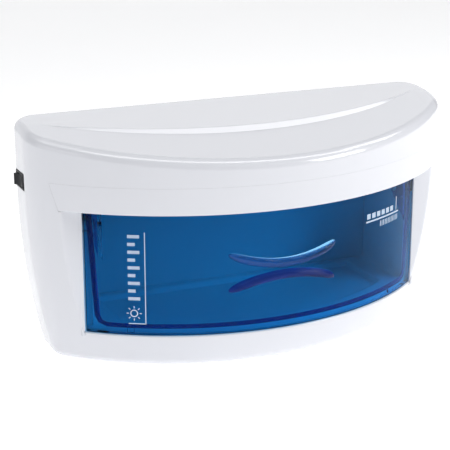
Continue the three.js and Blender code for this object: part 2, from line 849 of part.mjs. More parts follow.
function starterCan() {
  const CAN_R = 10.7;
  const CAN_LENGTH = 30.7;
  const STUD_R = 2.3;
  const STUD_X = 6;
  const [x, y] = STARTER;
  const low = SOCKET_TOP_Z + GAP;
  const can = rod("z", STARTER, CAN_R, low, low + CAN_LENGTH, 24);
  const stud = (side) =>
    rod("z", [x + side * STUD_X, y], STUD_R, DECK_Z + 3, low + 1, 10);
  return union(can, stud(-1), stud(1));
}

const BLOCK = { x0: 100, x1: 126, y0: 36, y1: 48, top: DECK_Z + 10 };

function terminalBlock() {
  const POLES = 3;
  const POLE_PITCH = 8;
  const { x0, x1, y0, y1, top } = BLOCK;
  let body = box(x0, x1, y0, y1, DECK_Z, top);
  for (let i = 0; i < POLES; i++) {
    const x = x0 + 5 + i * POLE_PITCH;
    for (const y of [y0 + 3, y1 - 3]) {
      body = body.subtract(rod("z", [x, y], 1.5, top - 4, top + 1, 10));
    }
  }
  return body;
}

function cordGland() {
  const FLANGE_R = 9;
  const BARREL_R = 5.9;
  const BARREL_START_Y = 57;
  const BORE_R = 3.6;
  const centre = [GLAND_X, GLAND_Z];
  const flange = rod("y", centre, FLANGE_R, BACK_Y + GAP, BACK_Y + 2.2, 28);
  const barrel = rod("y", centre, BARREL_R, BARREL_START_Y, BACK_Y + 1, 24);
  return flange.add(barrel).subtract(rod("y", centre, BORE_R, 0, FAR, 20));
}

function glandNut() {
  const NUT_R = 9.6;
  const NUT_T = 5.1;
  const centre = [GLAND_X, GLAND_Z];
  const face = PANEL_IN_Y - GAP;
  return rod("y", centre, NUT_R, face - NUT_T, face, 6).subtract(
    rod("y", centre, GLAND_HOLE_R, 0, FAR, 20),
  );
}

// ---- Power switch ---------------------------------------------------------------------
function switchHousing() {
  const AXLE_HOLE_R = 1.5;
  const AXLE_HALF = ROCKER_HALF_Z + 1.2;
  const bezel = switchBlock(BEZEL_FACE_X, BEZEL_SEAT_X, ...BEZEL_HALF);
  const core = switchBlock(BEZEL_SEAT_X - 1, SWITCH_BACK_X, ...SWITCH_CORE_HALF);
  const wellHalf = SWITCH_CORE_HALF[0] - GAP;
  const well = switchBlock(-FAR, ROCKER_PIVOT_X + 4.5, wellHalf, ROCKER_HALF_Z + 0.4);
  const axle = rod(
    "z",
    [ROCKER_PIVOT_X, SWITCH_Y],
    AXLE_HOLE_R,
    SWITCH_Z - AXLE_HALF,
    SWITCH_Z + AXLE_HALF,
    14,
  );
  return bezel.add(core).subtract(well).subtract(axle);
}

// The rocker rests with its rear end out and its front end in.
function rockerButton() {
  const END = 7.4;
  const profile = [
    [-END, -2],
    [END, -2],
    [END, 7.9],
    [END / 2, 6.4],
    [0, 6],
    [-END / 2, 6.4],
    [-END, 7.9],
  ];
  const turned = profile.map(([along, out]) => {
    const y = along * Math.cos(ROCKER_TILT) - out * Math.sin(ROCKER_TILT);
    const outward = along * Math.sin(ROCKER_TILT) + out * Math.cos(ROCKER_TILT);
    return [ROCKER_PIVOT_X - outward, SWITCH_Y + y];
  });
  const low = SWITCH_Z - ROCKER_HALF_Z;
  const high = SWITCH_Z + ROCKER_HALF_Z;
  const cap = prism("z", turned.reverse(), low, high);
  const axle = rod("z", [ROCKER_PIVOT_X, SWITCH_Y], 1.2, low - 0.9, high + 0.9, 14);
  return cap.add(axle);
}

// One contact blade behind the switch; side is -1 in front and +1 behind.
function switchBlade(side) {
  const LENGTH = 9.7;
  const y = SWITCH_Y + (side * BLADE_PITCH) / 2;
  const x = SWITCH_BACK_X + GAP;
  return box(x, x + LENGTH, y - 0.4, y + 0.4, SWITCH_Z - 2.4, SWITCH_Z + 2.4);
}

// ---- Wiring ---------------------------------------------------------------------------
function lead(points, steps) {
  const curve = new THREE.CatmullRomCurve3(
    points.map(([x, y, z]) => new THREE.Vector3(x, y, z)),
  );
  const SIDES = 8;
  const RADIUS = 1.2;
  const section = new THREE.Shape();
  for (let i = 0; i < SIDES; i++) {
    const turn = (2 * Math.PI * i) / SIDES;
    const x = RADIUS * Math.cos(turn);
    const y = RADIUS * Math.sin(turn);
    if (i === 0) {
      section.moveTo(x, y);
    } else {
      section.lineTo(x, y);
    }
  }
  section.closePath();
  return solid(new THREE.ExtrudeGeometry(section, { steps, extrudePath: curve }));
}

const LEADS = {
  lead_switch_to_ballast: [
    [-155.2, 36, 149.5],
    [-142, 32, 155],
    [-110, 30, 160],
    [-70.5, 36, 158],
  ],
  lead_switch_to_block: [
    [-155.2, 45, 149.5],
    [-148, 38, 148],
    [-110, 14, 148],
    [0, 12, 147],
    [80, 14, 148],
    [113, 24, 149],
    [113, 35.6, 149],
  ],
  lead_ballast_to_left_holder: [
    [-150, 45, 135.5],
    [-150, 47, 148],
    [-120, 52, 166],
    [-70.5, 48, 160],
  ],
  lead_ballast_to_starter: [
    [40.5, 42, 160],
    [54, 42, 160],
    [60, 42, 149],
    [68.7, 42, 147.5],
  ],
  lead_starter_to_right_holder: [
    [95.3, 50, 147.5],
    [120, 56, 149],
    [146, 50, 150],
    [150, 45, 135.5],
  ],
  lead_gland_to_block: [
    [112, 56.7, 160],
    [112, 50, 161],
    [113, 42, 162],
    [113, 42, 154.2],
  ],
};

// ---- Assembly -------------------------------------------------------------------------
const cabinet = new THREE.Group();

function add(name, body, look) {
  const mesh = new THREE.Mesh(geometryOf(body), look);
  mesh.name = name;
  cabinet.add(mesh);
}

function addPair(name, rightBody, look) {
  add(name + "_left", mirrored(rightBody), look);
  add(name + "_right", rightBody, look);
}

add("outer_shell", outerShell(), WHITE);
add("visor_strip", visorStrip(), WHITE);
add("rear_panel", rearPanel(), WHITE_SATIN);
add("base_plate", basePlate(), WHITE_SATIN);
for (const [name, centre] of Object.entries(FEET)) {
  add(name, rod("z", centre, FOOT_R, 0, BASE_Z[0] - GAP, 24), RUBBER);
}
REAR_SCREWS.forEach((centre, i) => {
  add("rear_screw_" + (i + 1), screw("y", centre, BACK_Y + GAP, 61, 1), STEEL);
});
BASE_SCREWS.forEach((centre, i) => {
  add("base_screw_" + (i + 1), screw("z", centre, BASE_Z[0] - GAP, 9, -1), STEEL);
});

add("chamber_liner", chamberLiner(), WHITE_SATIN);
addPair("hinge_pin", hingePin(), STEEL);
add("door_panel", doorPanel(), BLUE);

add("lamp_reflector", lampReflector(), ALUMINIUM);
addPair("lamp_holder", lampHolder(), WHITE_SATIN);
add("lamp_tube", rod("x", [LAMP_Y, LAMP_Z], LAMP_R, -134, 134, 24), GLASS);
addPair("lamp_cap", lampCap(), ALUMINIUM);

add("ballast", ballast(), IRON);
BALLAST_SCREWS.forEach((centre, i) => {
  add("ballast_screw_" + (i + 1), screw("z", centre, DECK_Z + 2 + GAP, CEILING_Z + GAP, 1), STEEL);
});
add("starter_socket", starterSocket(), NYLON);
add("starter_can", starterCan(), WHITE_SATIN);
add("terminal_block", terminalBlock(), NYLON);
add("cord_gland", cordGland(), BLACK);
add("gland_nut", glandNut(), BLACK);

add("switch_housing", switchHousing(), BLACK);
add("rocker_button", rockerButton(), BLACK);
add("switch_terminal_front", switchBlade(-1), BRASS);
add("switch_terminal_rear", switchBlade(1), BRASS);
for (const [name, points] of Object.entries(LEADS)) {
  add(name, lead(points, 4 * points.length), WIRE);
}

export default cabinet;
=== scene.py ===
"""Looks of the ultraviolet sterilizer cabinet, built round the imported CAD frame.

Shapes are written in millimetres in the frame of the CAD part: +Z up, +Y towards the flat
back, the origin on the table under the middle. They become metres when a mesh is made.
"""

import math

import bmesh
import bpy
import numpy as np
from mathutils import Matrix, Vector


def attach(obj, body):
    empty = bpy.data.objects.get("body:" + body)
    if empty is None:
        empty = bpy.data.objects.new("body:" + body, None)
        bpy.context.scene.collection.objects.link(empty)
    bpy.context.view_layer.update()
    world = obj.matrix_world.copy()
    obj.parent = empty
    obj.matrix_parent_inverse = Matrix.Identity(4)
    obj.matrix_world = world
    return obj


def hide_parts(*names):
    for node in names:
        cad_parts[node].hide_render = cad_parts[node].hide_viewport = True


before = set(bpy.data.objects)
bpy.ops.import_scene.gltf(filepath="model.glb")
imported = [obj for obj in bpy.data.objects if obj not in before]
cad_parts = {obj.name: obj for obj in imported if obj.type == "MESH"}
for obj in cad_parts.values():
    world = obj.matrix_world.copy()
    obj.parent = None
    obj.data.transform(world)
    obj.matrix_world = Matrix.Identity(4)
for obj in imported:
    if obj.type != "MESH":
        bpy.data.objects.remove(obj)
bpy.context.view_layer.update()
MM = 0.001

# ---- Driving dimensions, the same as in the CAD part
GAP = 0.3
WALL = 3.4
FAR = 200  # beyond every face of the cabinet, for cutting boxes
HALF_WIDTH = 186
BACK_Y = 69
REAR_R = 20
CORNER_R = 38.2
FRONT_R = 243.5
FRONT_CENTRE_Y = 174.5
CORNER_X = HALF_WIDTH - CORNER_R
CORNER_Y = FRONT_CENTRE_Y - math.sqrt((FRONT_R - CORNER_R) ** 2 - CORNER_X**2)
TANGENT = math.atan2(CORNER_X, FRONT_CENTRE_Y - CORNER_Y)

RIM_Z = 1.5
BOTTOM_FILLET = 7
SEAM_Z = 154.2
LIP_Z = 132.7
TOP_FILLET = 7.1
BOWL_INSET = 19
BOWL_POWER = 2.2

FOLD_Y = 38
REAR_SLOPE = 0.11
FRONT_SLOPE = 0.183
TOP_BACK_Z = 196.4
REAR_TOP = (TOP_BACK_Z, REAR_SLOPE)
FRONT_TOP = (TOP_BACK_Z + (FRONT_SLOPE - REAR_SLOPE) * (BACK_Y - FOLD_Y), FRONT_SLOPE)
CRESCENT_R = 374
CRESCENT_Z = 188
CRESCENT_FRONT_Y = -8.2
CRESCENT_CENTRE_Y = CRESCENT_FRONT_Y + CRESCENT_R

FACET_Y = -2.3
SILL_Z = 30.2
MOUTH_HALF = 149.6
SHELF_INNER_R = 216
RETURN_DEPTH = 20

STRIP_T = 1.6
STRIP_TOP_HALF = 173.5
STRIP_LOW_HALF = 168

DOOR_R = 231
DOOR_T = 3
DOOR_HALF = 149
DOOR_LOW_Z = SILL_Z + GAP
DOOR_TOP_Z = 136
PIVOT_Y = 8
PIVOT_Z = 116
PIVOT = (PIVOT_Y, PIVOT_Z)
DOOR_OPEN = math.radians(35)
ARM_IN = 135.8
ARM_OUT = 138.8
PIN_HOLE_R = 2.3
RIB_DEPTH = 1.8
RIB_W = 3.2

BAR_HALF = 47
BAR_W = 7.4
BAR_SAG = 9.8
BAR_MID_Z = (86.2, 76.2)
BAR_PROUD = 5
BAR_SEAT = 0.03  # the bars and the rib stand this far off the sheet

LINER_HALF = 142
LINER_T = 2
LINER_BACK_Y = 65.3
LINER_FRONT_R = 225
FLOOR_Z = 35.5
CEILING_Z = 141.5
PAN_HALF = 120
PAN_DEPTH = 4
PAN_R = 212
PAN_BACK_Y = 58

LAMP_Y = 45
LAMP_Z = 124
LAMP = (LAMP_Y, LAMP_Z)
LAMP_R = 7.75
CAP_R = 8
CAP_FACE_X = 144.15
CAP_START_X = 134.3
CONTACT_REACH = 7.1
CONTACT_PITCH = 4.75
CONTACT_R = 1.15

PANEL_HALF = 150
PANEL_LOW_Z = 14
PANEL_HIGH_Z = 180
PANEL_IN_Y = 66
LEDGE_W = 6
BASE_FRONT_R = 212
BASE_HALF = 148
BASE_BACK_Y = 55
BASE_Z = (2, 4.5)
FOOT_R = 7.5
SCREW_HOLE_R = 1.9
REAR_SCREWS = ((-147, 30), (147, 30), (-147, 168), (147, 168))
BASE_SCREWS = ((-105, -3.5), (105, -3.5), (-110, 49.5), (110, 49.5))
BALLAST_SCREWS = ((-77, 42), (47, 42))
GLAND = (112, 160)
GLAND_HOLE_R = 6.2
COVER_GAP = 0.4  # round the rear panel and the base plate

SWITCH_Y = 40.5
SWITCH_Z = 149.5
BEZEL_FACE_X = -186.6
BEZEL_SEAT_X = -184.3
SWITCH_BACK_X = -166
ROCKER_PIVOT_X = -180.5
ROCKER_HALF_Z = 4.6
BEZEL_HALF = (10.5, 6.8)  # half length and half height
SWITCH_CORE_HALF = (9.3, 6.2)
ROCKER_TILT = math.radians(11)


# ---- Meshes
def mesh_of(points, faces):
    """A mesh datablock from points in millimetres."""
    mesh = bpy.data.meshes.new("solid")
    mesh.from_pydata([tuple(p) for p in np.asarray(points, float) * MM], [], faces)
    mesh.update()
    return mesh


def placed(name, data):
    """A new object in the scene."""
    o = bpy.data.objects.new(name, data)
    bpy.context.scene.collection.objects.link(o)
    return o


def combined(base, *steps):
    """base after several solid operations, each given as (operation, mesh)."""
    shown = placed("base", base)
    tools = []
    for operation, mesh in steps:
        tool = placed("tool", mesh)
        tools.append(tool)
        step = shown.modifiers.new("step", "BOOLEAN")
        step.operation = operation
        step.solver = "MANIFOLD"
        step.object = tool
    graph = bpy.context.evaluated_depsgraph_get()
    result = bpy.data.meshes.new_from_object(shown.evaluated_get(graph))
    for o in [shown, *tools]:
        bpy.data.objects.remove(o)
    return result


def cut(base, *tools):
    return combined(base, *(("DIFFERENCE", t) for t in tools))


def joined(base, *tools):
    return combined(base, *(("UNION", t) for t in tools))


def kept(base, *tools):
    return combined(base, *(("INTERSECT", t) for t in tools))


def mirrored(mesh):
    """The mesh mirrored in X."""
    copy = mesh.copy()
    copy.transform(Matrix.Diagonal((-1, 1, 1, 1)))
    copy.flip_normals()
    return copy


def loft(rings):
    """A closed skin through rings of equal count, counter-clockwise from above."""
    count = len(rings[0])
    faces = []
    for ring in range(len(rings) - 1):
        low = ring * count
        high = low + count
        for i in range(count):
            j = (i + 1) % count
            faces.append((low + i, low + j, high + j, high + i))
    faces.append(tuple(reversed(range(count))))
    top = (len(rings) - 1) * count
    faces.append(tuple(top + i for i in range(count)))
    return mesh_of(np.concatenate(rings), faces)


def faced_outward(mesh, merge=0.0):
    """The mesh facing outward, after points closer than merge are joined."""
    work = bmesh.new()
    work.from_mesh(mesh)
    if merge:
        bmesh.ops.remove_doubles(work, verts=work.verts, dist=merge * MM)
    bmesh.ops.recalc_face_normals(work, faces=work.faces)
    work.to_mesh(mesh)
    work.free()
    return mesh


def box(x0, x1, y0, y1, z0, z1):
    plan = [(x0, y0), (x1, y0), (x1, y1), (x0, y1)]
    return loft([np.array([(x, y, z) for x, y in plan]) for z in (z0, z1)])


def turned_to(axis, a, b, along):
    """A point from the coordinates across an axis, in order, and the one along it."""
    return {"x": (along, a, b), "y": (a, along, b), "z": (a, b, along)}[axis]


def area_of(plan):
    a = np.asarray(plan, float)
    b = np.roll(a, -1, 0)
    return 0.5 * float((a[:, 0] * b[:, 1] - b[:, 0] * a[:, 1]).sum())


def prism(axis, plan, start, end):
    """A prism whose outline lies in the plane across the axis."""
    plan = list(plan)
    turn = -1 if axis == "y" else 1
    if area_of(plan) * turn < 0:
        plan.reverse()
    return loft(
        [np.array([turned_to(axis, a, b, s) for a, b in plan]) for s in (start, end)]
    )


def polar(centre, radius, turn):
    """A point of a circle, in the plane of its centre."""
    return (centre[0] + radius * math.cos(turn), centre[1] + radius * math.sin(turn))


def circle(centre, radius, sides=48):
    return [polar(centre, radius, t) for t in np.arange(sides) * 2 * math.pi / sides]


def rod(axis, centre, radius, start, end, sides=48):
    return prism(axis, circle(centre, radius, sides), start, end)


def lathe(axis, centre, profile, sides=64):
    """A closed solid turned about an axis; profile is (radius, place along the axis)."""
    count = len(profile)
    points, faces = [], []
    for i in range(sides):
        turn = 2 * math.pi * i / sides
        for radius, along in profile:
            points.append(turned_to(axis, *polar(centre, radius, turn), along))
    for i in range(sides):
        j = (i + 1) % sides
        for k in range(count):
            m = (k + 1) % count
            faces.append((i * count + k, j * count + k, j * count + m, i * count + m))
    return faced_outward(mesh_of(points, faces), merge=1e-3)


def front_drum(radius, z0, z1, sides=720):
    """The cylinder concentric with the front arc."""
    return rod("z", (0, FRONT_CENTRE_Y), radius, z0, z1, sides)


def drum_y(radius, x):
    """Where the front of a drum is at x."""
    return FRONT_CENTRE_Y - math.sqrt(radius * radius - x * x)


def rounded_plan(x0, x1, y0, y1, radius, steps=8):
    """A rectangle with round corners, counter-clockwise."""
    plan = []
    corners = ((x1, y0, -90), (x1, y1, 0), (x0, y1, 90), (x0, y0, 180))
    for x, y, start in corners:
        cx = x - radius if x == x1 else x + radius
        cy = y - radius if y == y1 else y + radius
        for i in range(steps + 1):
            plan.append(polar((cx, cy), radius, math.radians(start + 90 * i / steps)))
    return plan


def graded(low, high, radius, inner):
    """Places from low to high, close together where an edge is rounded."""
    edge = [radius * (1 - math.cos(math.radians(a))) for a in (0, 22.5, 45, 67.5, 90)]
    middle = np.linspace(low + radius, high - radius, inner + 1)
    return [low + e for e in edge[:-1]] + list(middle) + [high - e for e in edge[:-1]][::-1]


def rounded_block(low, high, radius, inner=(1, 1, 1)):
    """The grid of a box with rounded edges, as points and faces in its own coordinates."""
    axes = [graded(a, b, radius, n) for a, b, n in zip(low, high, inner)]
    sizes = [len(a) for a in axes]
    index, points, faces = {}, [], []

    def at(i, j, k):
        if (i, j, k) not in index:
            p = np.array([axes[0][i], axes[1][j], axes[2][k]])
            core = np.clip(p, np.array(low) + radius, np.array(high) - radius)
            off = p - core
            reach = np.abs(off).max()
            if reach > 1e-9:
                p = core + unit(off) * radius
            index[(i, j, k)] = len(points)
            points.append(p)
        return index[(i, j, k)]

    for axis in range(3):
        u, v = (axis + 1) % 3, (axis + 2) % 3
        for side in (0, sizes[axis] - 1):
            for a in range(sizes[u] - 1):
                for b in range(sizes[v] - 1):
                    corner = []
                    for da, db in ((0, 0), (1, 0), (1, 1), (0, 1)):
                        place = [0, 0, 0]
                        place[axis], place[u], place[v] = side, a + da, b + db
                        corner.append(at(*place))
                    faces.append(tuple(corner if side else reversed(corner)))
    return np.array(points), faces


def rounded_box(x0, x1, y0, y1, z0, z1, radius):
    points, faces = rounded_block((x0, y0, z0), (x1, y1, z1), radius)
    return mesh_of(points, faces)


def unit(v):
    v = np.asarray(v, float)
    return v / np.linalg.norm(v)


def edge_cutter(curve, first, second, radius, steps=6):
    """What rounds the edge that runs along curve, between faces with these normals."""
    curve = np.asarray(curve, float)
    along = np.gradient(curve, axis=0)
    rings = []
    over = 0.4
    for p, t, a, b in zip(curve, along, first, second):
        t, a, b = unit(t), unit(a), unit(b)
        into_a = np.cross(a, t)
        into_a = into_a if into_a @ b < 0 else -into_a
        into_b = np.cross(b, t)
        into_b = into_b if into_b @ a < 0 else -into_b
        half = 0.5 * math.acos(max(-1.0, min(1.0, float(into_a @ into_b))))
        centre = p + unit(into_a + into_b) * radius / math.sin(half)
        ring = [p + (a + b) * over, p + into_a * radius / math.tan(half) + a * over]
        span = math.pi - 2 * half
        for i in range(steps + 1):
            share = i / steps
            v = a * math.sin((1 - share) * span) + b * math.sin(share * span)
            ring.append(centre + unit(v) * radius)
        ring.append(p + into_b * radius / math.tan(half) + b * over)
        rings.append(np.array(ring))
    return faced_outward(loft(rings))


def cleaned(mesh):
    """The mesh without flakes and loose bits."""
    work = bmesh.new()
    work.from_mesh(mesh)
    bmesh.ops.remove_doubles(work, verts=work.verts, dist=2e-3 * MM)
    bmesh.ops.dissolve_degenerate(work, edges=work.edges, dist=1e-3 * MM)
    work.to_mesh(mesh)
    work.free()
    return mesh


def shade(mesh, sharp):
    """Smooth shading, with creases where faces meet at more than sharp degrees."""
    mesh.polygons.foreach_set("use_smooth", [True] * len(mesh.polygons))
    mesh.set_sharp_from_angle(angle=math.radians(sharp))


def piece(name, mesh, body, material, stands_for=(), sharp=32, bevel=0.0):
    """Puts a finished mesh in the scene as a piece that rides on a body."""
    mesh = cleaned(mesh)
    mesh.name = name
    mesh.materials.clear()
    mesh.materials.append(material)
    shade(mesh, sharp)
    o = placed(name, mesh)
    if bevel:
        add_bevel(o, bevel)
    weighted = o.modifiers.new("weighted_normals", "WEIGHTED_NORMAL")
    weighted.keep_sharp = True
    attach(o, body)
    if stands_for:
        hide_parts(*stands_for)
    return o


def add_bevel(o, width):
    """Rounds the sharp edges of a piece or a CAD node by a small width in millimetres."""
    bevel = o.modifiers.new("soft_edges", "BEVEL")
    bevel.width = width * MM
    bevel.segments = 3
    bevel.limit_method = "ANGLE"
    bevel.angle_limit = math.radians(38)
    bevel.harden_normals = False


# ---- The half-moon body
FRONT_STEPS = 150
CORNER_STEPS = 20


def outline(inset, taper=0.0):
    """The plan outline, drawn in by inset all round and by taper all round but the back."""
    front_r = FRONT_R - inset - taper
    turns = TANGENT * (2 * np.arange(FRONT_STEPS) / FRONT_STEPS - 1)
    front = [(front_r * math.sin(t), FRONT_CENTRE_Y - front_r * math.cos(t)) for t in turns]
    side = []
    rear_x = HALF_WIDTH - taper - REAR_R
    corner = (CORNER_X, CORNER_Y, CORNER_R - inset - taper, TANGENT, math.pi / 2)
    rear = (rear_x, BACK_Y - REAR_R, REAR_R - inset, math.pi / 2, math.pi)
    for x, y, radius, start, end in (corner, rear):
        for t in np.linspace(start, end, CORNER_STEPS + 1):
            side.append((x + radius * math.sin(t), y - radius * math.cos(t)))
    left = [(-x, y) for x, y in reversed(side[1:])]
    return np.array(front + side + left)


def bowl(z):
    return BOWL_INSET * max(0.0, (SEAM_Z - z) / (SEAM_Z - RIM_Z)) ** BOWL_POWER


def bowl_slope(z):
    """How fast the skin draws in with falling height."""
    share = max(0.0, (SEAM_Z - z) / (SEAM_Z - RIM_Z))
    return BOWL_INSET * BOWL_POWER * share ** (BOWL_POWER - 1) / (SEAM_Z - RIM_Z)


def top_height(y, top):
    back_z, slope = top
    return back_z - slope * (BACK_Y - y)


def level_ring(inset, z):
    return np.array([(x, y, z) for x, y in outline(inset, bowl(z))])


def tilted_ring(inset, drop, top):
    return np.array([(x, y, top_height(y, top) - drop) for x, y in outline(inset)])


def body_volume(skin, top):
    rings = []
    low_r = BOTTOM_FILLET - skin
    high_r = TOP_FILLET - skin
    for turn in np.radians(np.linspace(0, 90, 9)):
        z = RIM_Z + skin + low_r * (1 - math.cos(turn))
        rings.append(level_ring(skin + low_r * (1 - math.sin(turn)), z))
    start = RIM_Z + BOTTOM_FILLET
    for z in np.linspace(start, SEAM_Z, 41)[1:]:
        rings.append(level_ring(skin, z))
    for turn in np.radians(np.linspace(0, 90, 13)):
        inset = skin + high_r * (1 - math.cos(turn))
        rings.append(tilted_ring(inset, skin + high_r * (1 - math.sin(turn)), top))
    return loft(rings)


def crescent_cone(skin):
    """The space behind the crescent's edge, which slopes at 45 degrees."""
    rings = []
    for z in (150, 210):
        radius = CRESCENT_R - skin * math.sqrt(2) + CRESCENT_Z - z
        plan = circle((0, CRESCENT_CENTRE_Y), radius, 1200)
        rings.append(np.array([(x, y, z) for x, y in plan]))
    return loft(rings)


def stepped_volume(skin):
    under_rear = body_volume(skin, REAR_TOP)
    crescent = kept(body_volume(skin, REAR_TOP), crescent_cone(skin))
    return kept(under_rear, joined(body_volume(skin, FRONT_TOP), crescent))


def front_normal(x, y, z):
    """The outward normal of the skin at a point of its front or corner arcs."""
    right = abs(x) > (FRONT_R - bowl(z)) * math.sin(TANGENT)
    cx = math.copysign(CORNER_X, x) if right else 0
    cy = CORNER_Y if right else FRONT_CENTRE_Y
    n = unit((x - cx, y - cy, 0))
    n[2] = -bowl_slope(z)
    return unit(n)


def crescent_edge_cutter():
    """Rounds the upper edge of the step in the top."""
    curve, first, second = [], [], []
    for turn in np.linspace(-0.42, 0.42, 161):
        c, s = math.cos(turn), math.sin(turn)
        # The radius where the cone meets the rear plane, found from both slopes.
        level = top_height(CRESCENT_CENTRE_Y, REAR_TOP)
        radius = (CRESCENT_R + CRESCENT_Z - level) / (1 - REAR_SLOPE * c)
        y = CRESCENT_CENTRE_Y - radius * c
        if y > FOLD_Y - 1.5:
            continue
        curve.append((radius * s, y, top_height(y, REAR_TOP)))
        first.append((s, -c, 1))
        second.append((0, -REAR_SLOPE, 1))
    return edge_cutter(curve, first, second, 1.2)


def front_edge_cutter(z, wanted, face, radius):
    """Rounds the level edge of the skin where wanted(x, y) holds and face is the other normal."""
    front = sorted(p for p in map(tuple, outline(0, bowl(z))) if wanted(*p))
    curve = [(x, y, z) for x, y in front]
    return edge_cutter(curve, [front_normal(*p) for p in curve], [face] * len(curve), radius)


def sill_edge_cutter():
    return front_edge_cutter(SILL_Z, lambda x, y: y < FACET_Y + 3, (0, 0, 1), 1.4)


def lip_edge_cutter():
    """Rounds the lower edge of the visor strip."""
    half = STRIP_LOW_HALF - 0.5
    return front_edge_cutter(LIP_Z, lambda x, y: abs(x) < half and y < 20, (0, 0, -1), 1.1)


def facet_edge_cutter():
    """Rounds the edge between the right-hand facet and the side of the cabinet."""
    curve, first = [], []
    for z in np.linspace(SILL_Z + 0.1, LIP_Z - 0.1, 60):
        plan = outline(0, bowl(z))
        right = plan[(plan[:, 0] > 0)]
        order = np.argsort(right[:, 1])
        x = float(np.interp(FACET_Y, right[order, 1], right[order, 0]))
        curve.append((x, FACET_Y, z))
        first.append(front_normal(x, FACET_Y, z))
    return edge_cutter(curve, first, [(0, -1, 0)] * len(curve), 4.5)


def mouth_edge_cutter():
    """Rounds the upright edge between the right-hand facet and the door opening."""
    heights = np.linspace(SILL_Z + 0.1, LIP_Z + 4, 24)
    curve = [(MOUTH_HALF, FACET_Y, z) for z in heights]
    return edge_cutter(curve, [(-1, 0, 0)] * 24, [(0, -1, 0)] * 24, 0.7)


def visor_band(grow):
    band = [
        (-STRIP_LOW_HALF - grow, LIP_Z - grow),
        (STRIP_LOW_HALF + grow, LIP_Z - grow),
        (STRIP_TOP_HALF + grow, SEAM_Z + grow),
        (-STRIP_TOP_HALF - grow, SEAM_Z + grow),
    ]
    return prism("y", band, -90, 8)


def visor_core(depth):
    return loft([level_ring(depth, z) for z in np.linspace(LIP_Z - 3, SEAM_Z + 3, 9)])


def door_sector(z0, z1, half):
    fan_r = 300
    reach = half / DOOR_R * fan_r
    depth = math.sqrt(fan_r * fan_r - reach * reach)
    y = FRONT_CENTRE_Y
    return prism("z", [(0, y), (-reach, y - depth), (reach, y - depth)], z0, z1)


def drum_sheet(outer_r, inner_r, z0, z1, half):
    sheet = cut(front_drum(outer_r, z0, z1), front_drum(inner_r, z0 - 1, z1 + 1))
    return kept(sheet, door_sector(z0 - 2, z1 + 2, half))


def base_region(inset, z0, z1):
    half = BASE_HALF - inset
    return kept(
        front_drum(BASE_FRONT_R - inset, z0, z1),
        box(-half, half, -90, BASE_BACK_Y - inset, z0 - 1, z1 + 1),
    )


def recess_parts(outer, inner):
    """The space in front of the door and the walls round it."""
    deep_y = 40
    return_t = 2.6
    space = box(-FAR, FAR, -FAR, FACET_Y, SILL_Z, LIP_Z)
    grown = box(-FAR, FAR, -FAR, FACET_Y + WALL, SILL_Z - WALL, LIP_Z + WALL)
    walls = cut(kept(outer, grown), space)
    mouth = box(-MOUTH_HALF, MOUTH_HALF, -FAR, deep_y, SILL_Z, LIP_Z + WALL + 1)
    shelf = kept(
        front_drum(SHELF_INNER_R, SILL_Z - WALL - 1, SILL_Z + 1),
        box(-MOUTH_HALF, MOUTH_HALF, -FAR, deep_y, 0, FAR),
    )
    walls = cut(walls, kept(inner, joined(mouth, shelf)))
    start, end = FACET_Y + 0.5, FACET_Y + RETURN_DEPTH
    low, high = SILL_Z - WALL, LIP_Z + WALL
    side = box(MOUTH_HALF, MOUTH_HALF + return_t, start, end, low, high)
    return space, joined(walls, side, mirrored(side))


def rear_ledge(outer):
    """The ledge that the rear panel is screwed to; it reaches past the panel into the skin."""
    ledge_t = 2.8
    low = PANEL_LOW_Z - 7
    high = PANEL_HIGH_Z + 5
    reach = PANEL_HALF + 3
    face = PANEL_IN_Y - GAP
    ledge = box(-reach, reach, face - ledge_t, face, low, high)
    inner = PANEL_HALF - LEDGE_W
    clear = box(-inner, inner, 60, 70, PANEL_LOW_Z + LEDGE_W, PANEL_HIGH_Z - LEDGE_W)
    return kept(cut(ledge, clear), outer)


def switch_block(x0, x1, half_y, half_z):
    """A block round the axis of the switch."""
    y, z = SWITCH_Y, SWITCH_Z
    return box(x0, x1, y - half_y, y + half_y, z - half_z, z + half_z)


def shell_mesh(outer):
    inner = stepped_volume(WALL)
    space, walls = recess_parts(outer, inner)
    slack = 0.6
    slot_inner = DOOR_R - DOOR_T - RIB_DEPTH - 1
    slot_top = LIP_Z + WALL + 1
    door_slot = drum_sheet(DOOR_R + slack, slot_inner, SILL_Z, slot_top, DOOR_HALF + slack)
    seat = cut(visor_band(GAP), visor_core(STRIP_T + GAP))
    ledge_top_z = 7.4
    base_ring = cut(base_region(-5, BASE_Z[1] + GAP, ledge_top_z), base_region(10, 0, 10))
    base_ledge = kept(base_ring, outer)
    facet = facet_edge_cutter()
    mouth = mouth_edge_cutter()
    rear_plan = rounded_plan(-PANEL_HALF, PANEL_HALF, PANEL_LOW_Z, PANEL_HIGH_Z, 3)
    rear_hole = prism("y", rear_plan, 60, 80)
    shell = cut(outer, inner, space)
    shell = joined(shell, walls)
    shell = cut(shell, door_slot, seat, rear_hole, base_region(0, -1, 10))
    shell = joined(shell, rear_ledge(outer), base_ledge)
    holes = [rod("y", c, SCREW_HOLE_R, 60, 70, 24) for c in REAR_SCREWS]
    holes += [rod("z", c, SCREW_HOLE_R, 0, 9, 24) for c in BASE_SCREWS]
    bezel_y, bezel_z = BEZEL_HALF
    core_y, core_z = SWITCH_CORE_HALF
    switch_seat = switch_block(-FAR, BEZEL_SEAT_X + GAP, bezel_y + GAP, bezel_z + GAP)
    switch_hole = switch_block(-FAR - 1, -175, core_y + 0.4, core_z + 0.4)
    shell = cut(shell, *holes, switch_seat, switch_hole)
    edges = [crescent_edge_cutter(), sill_edge_cutter(), facet, mirrored(facet)]
    return cut(shell, *edges, mouth, mirrored(mouth))


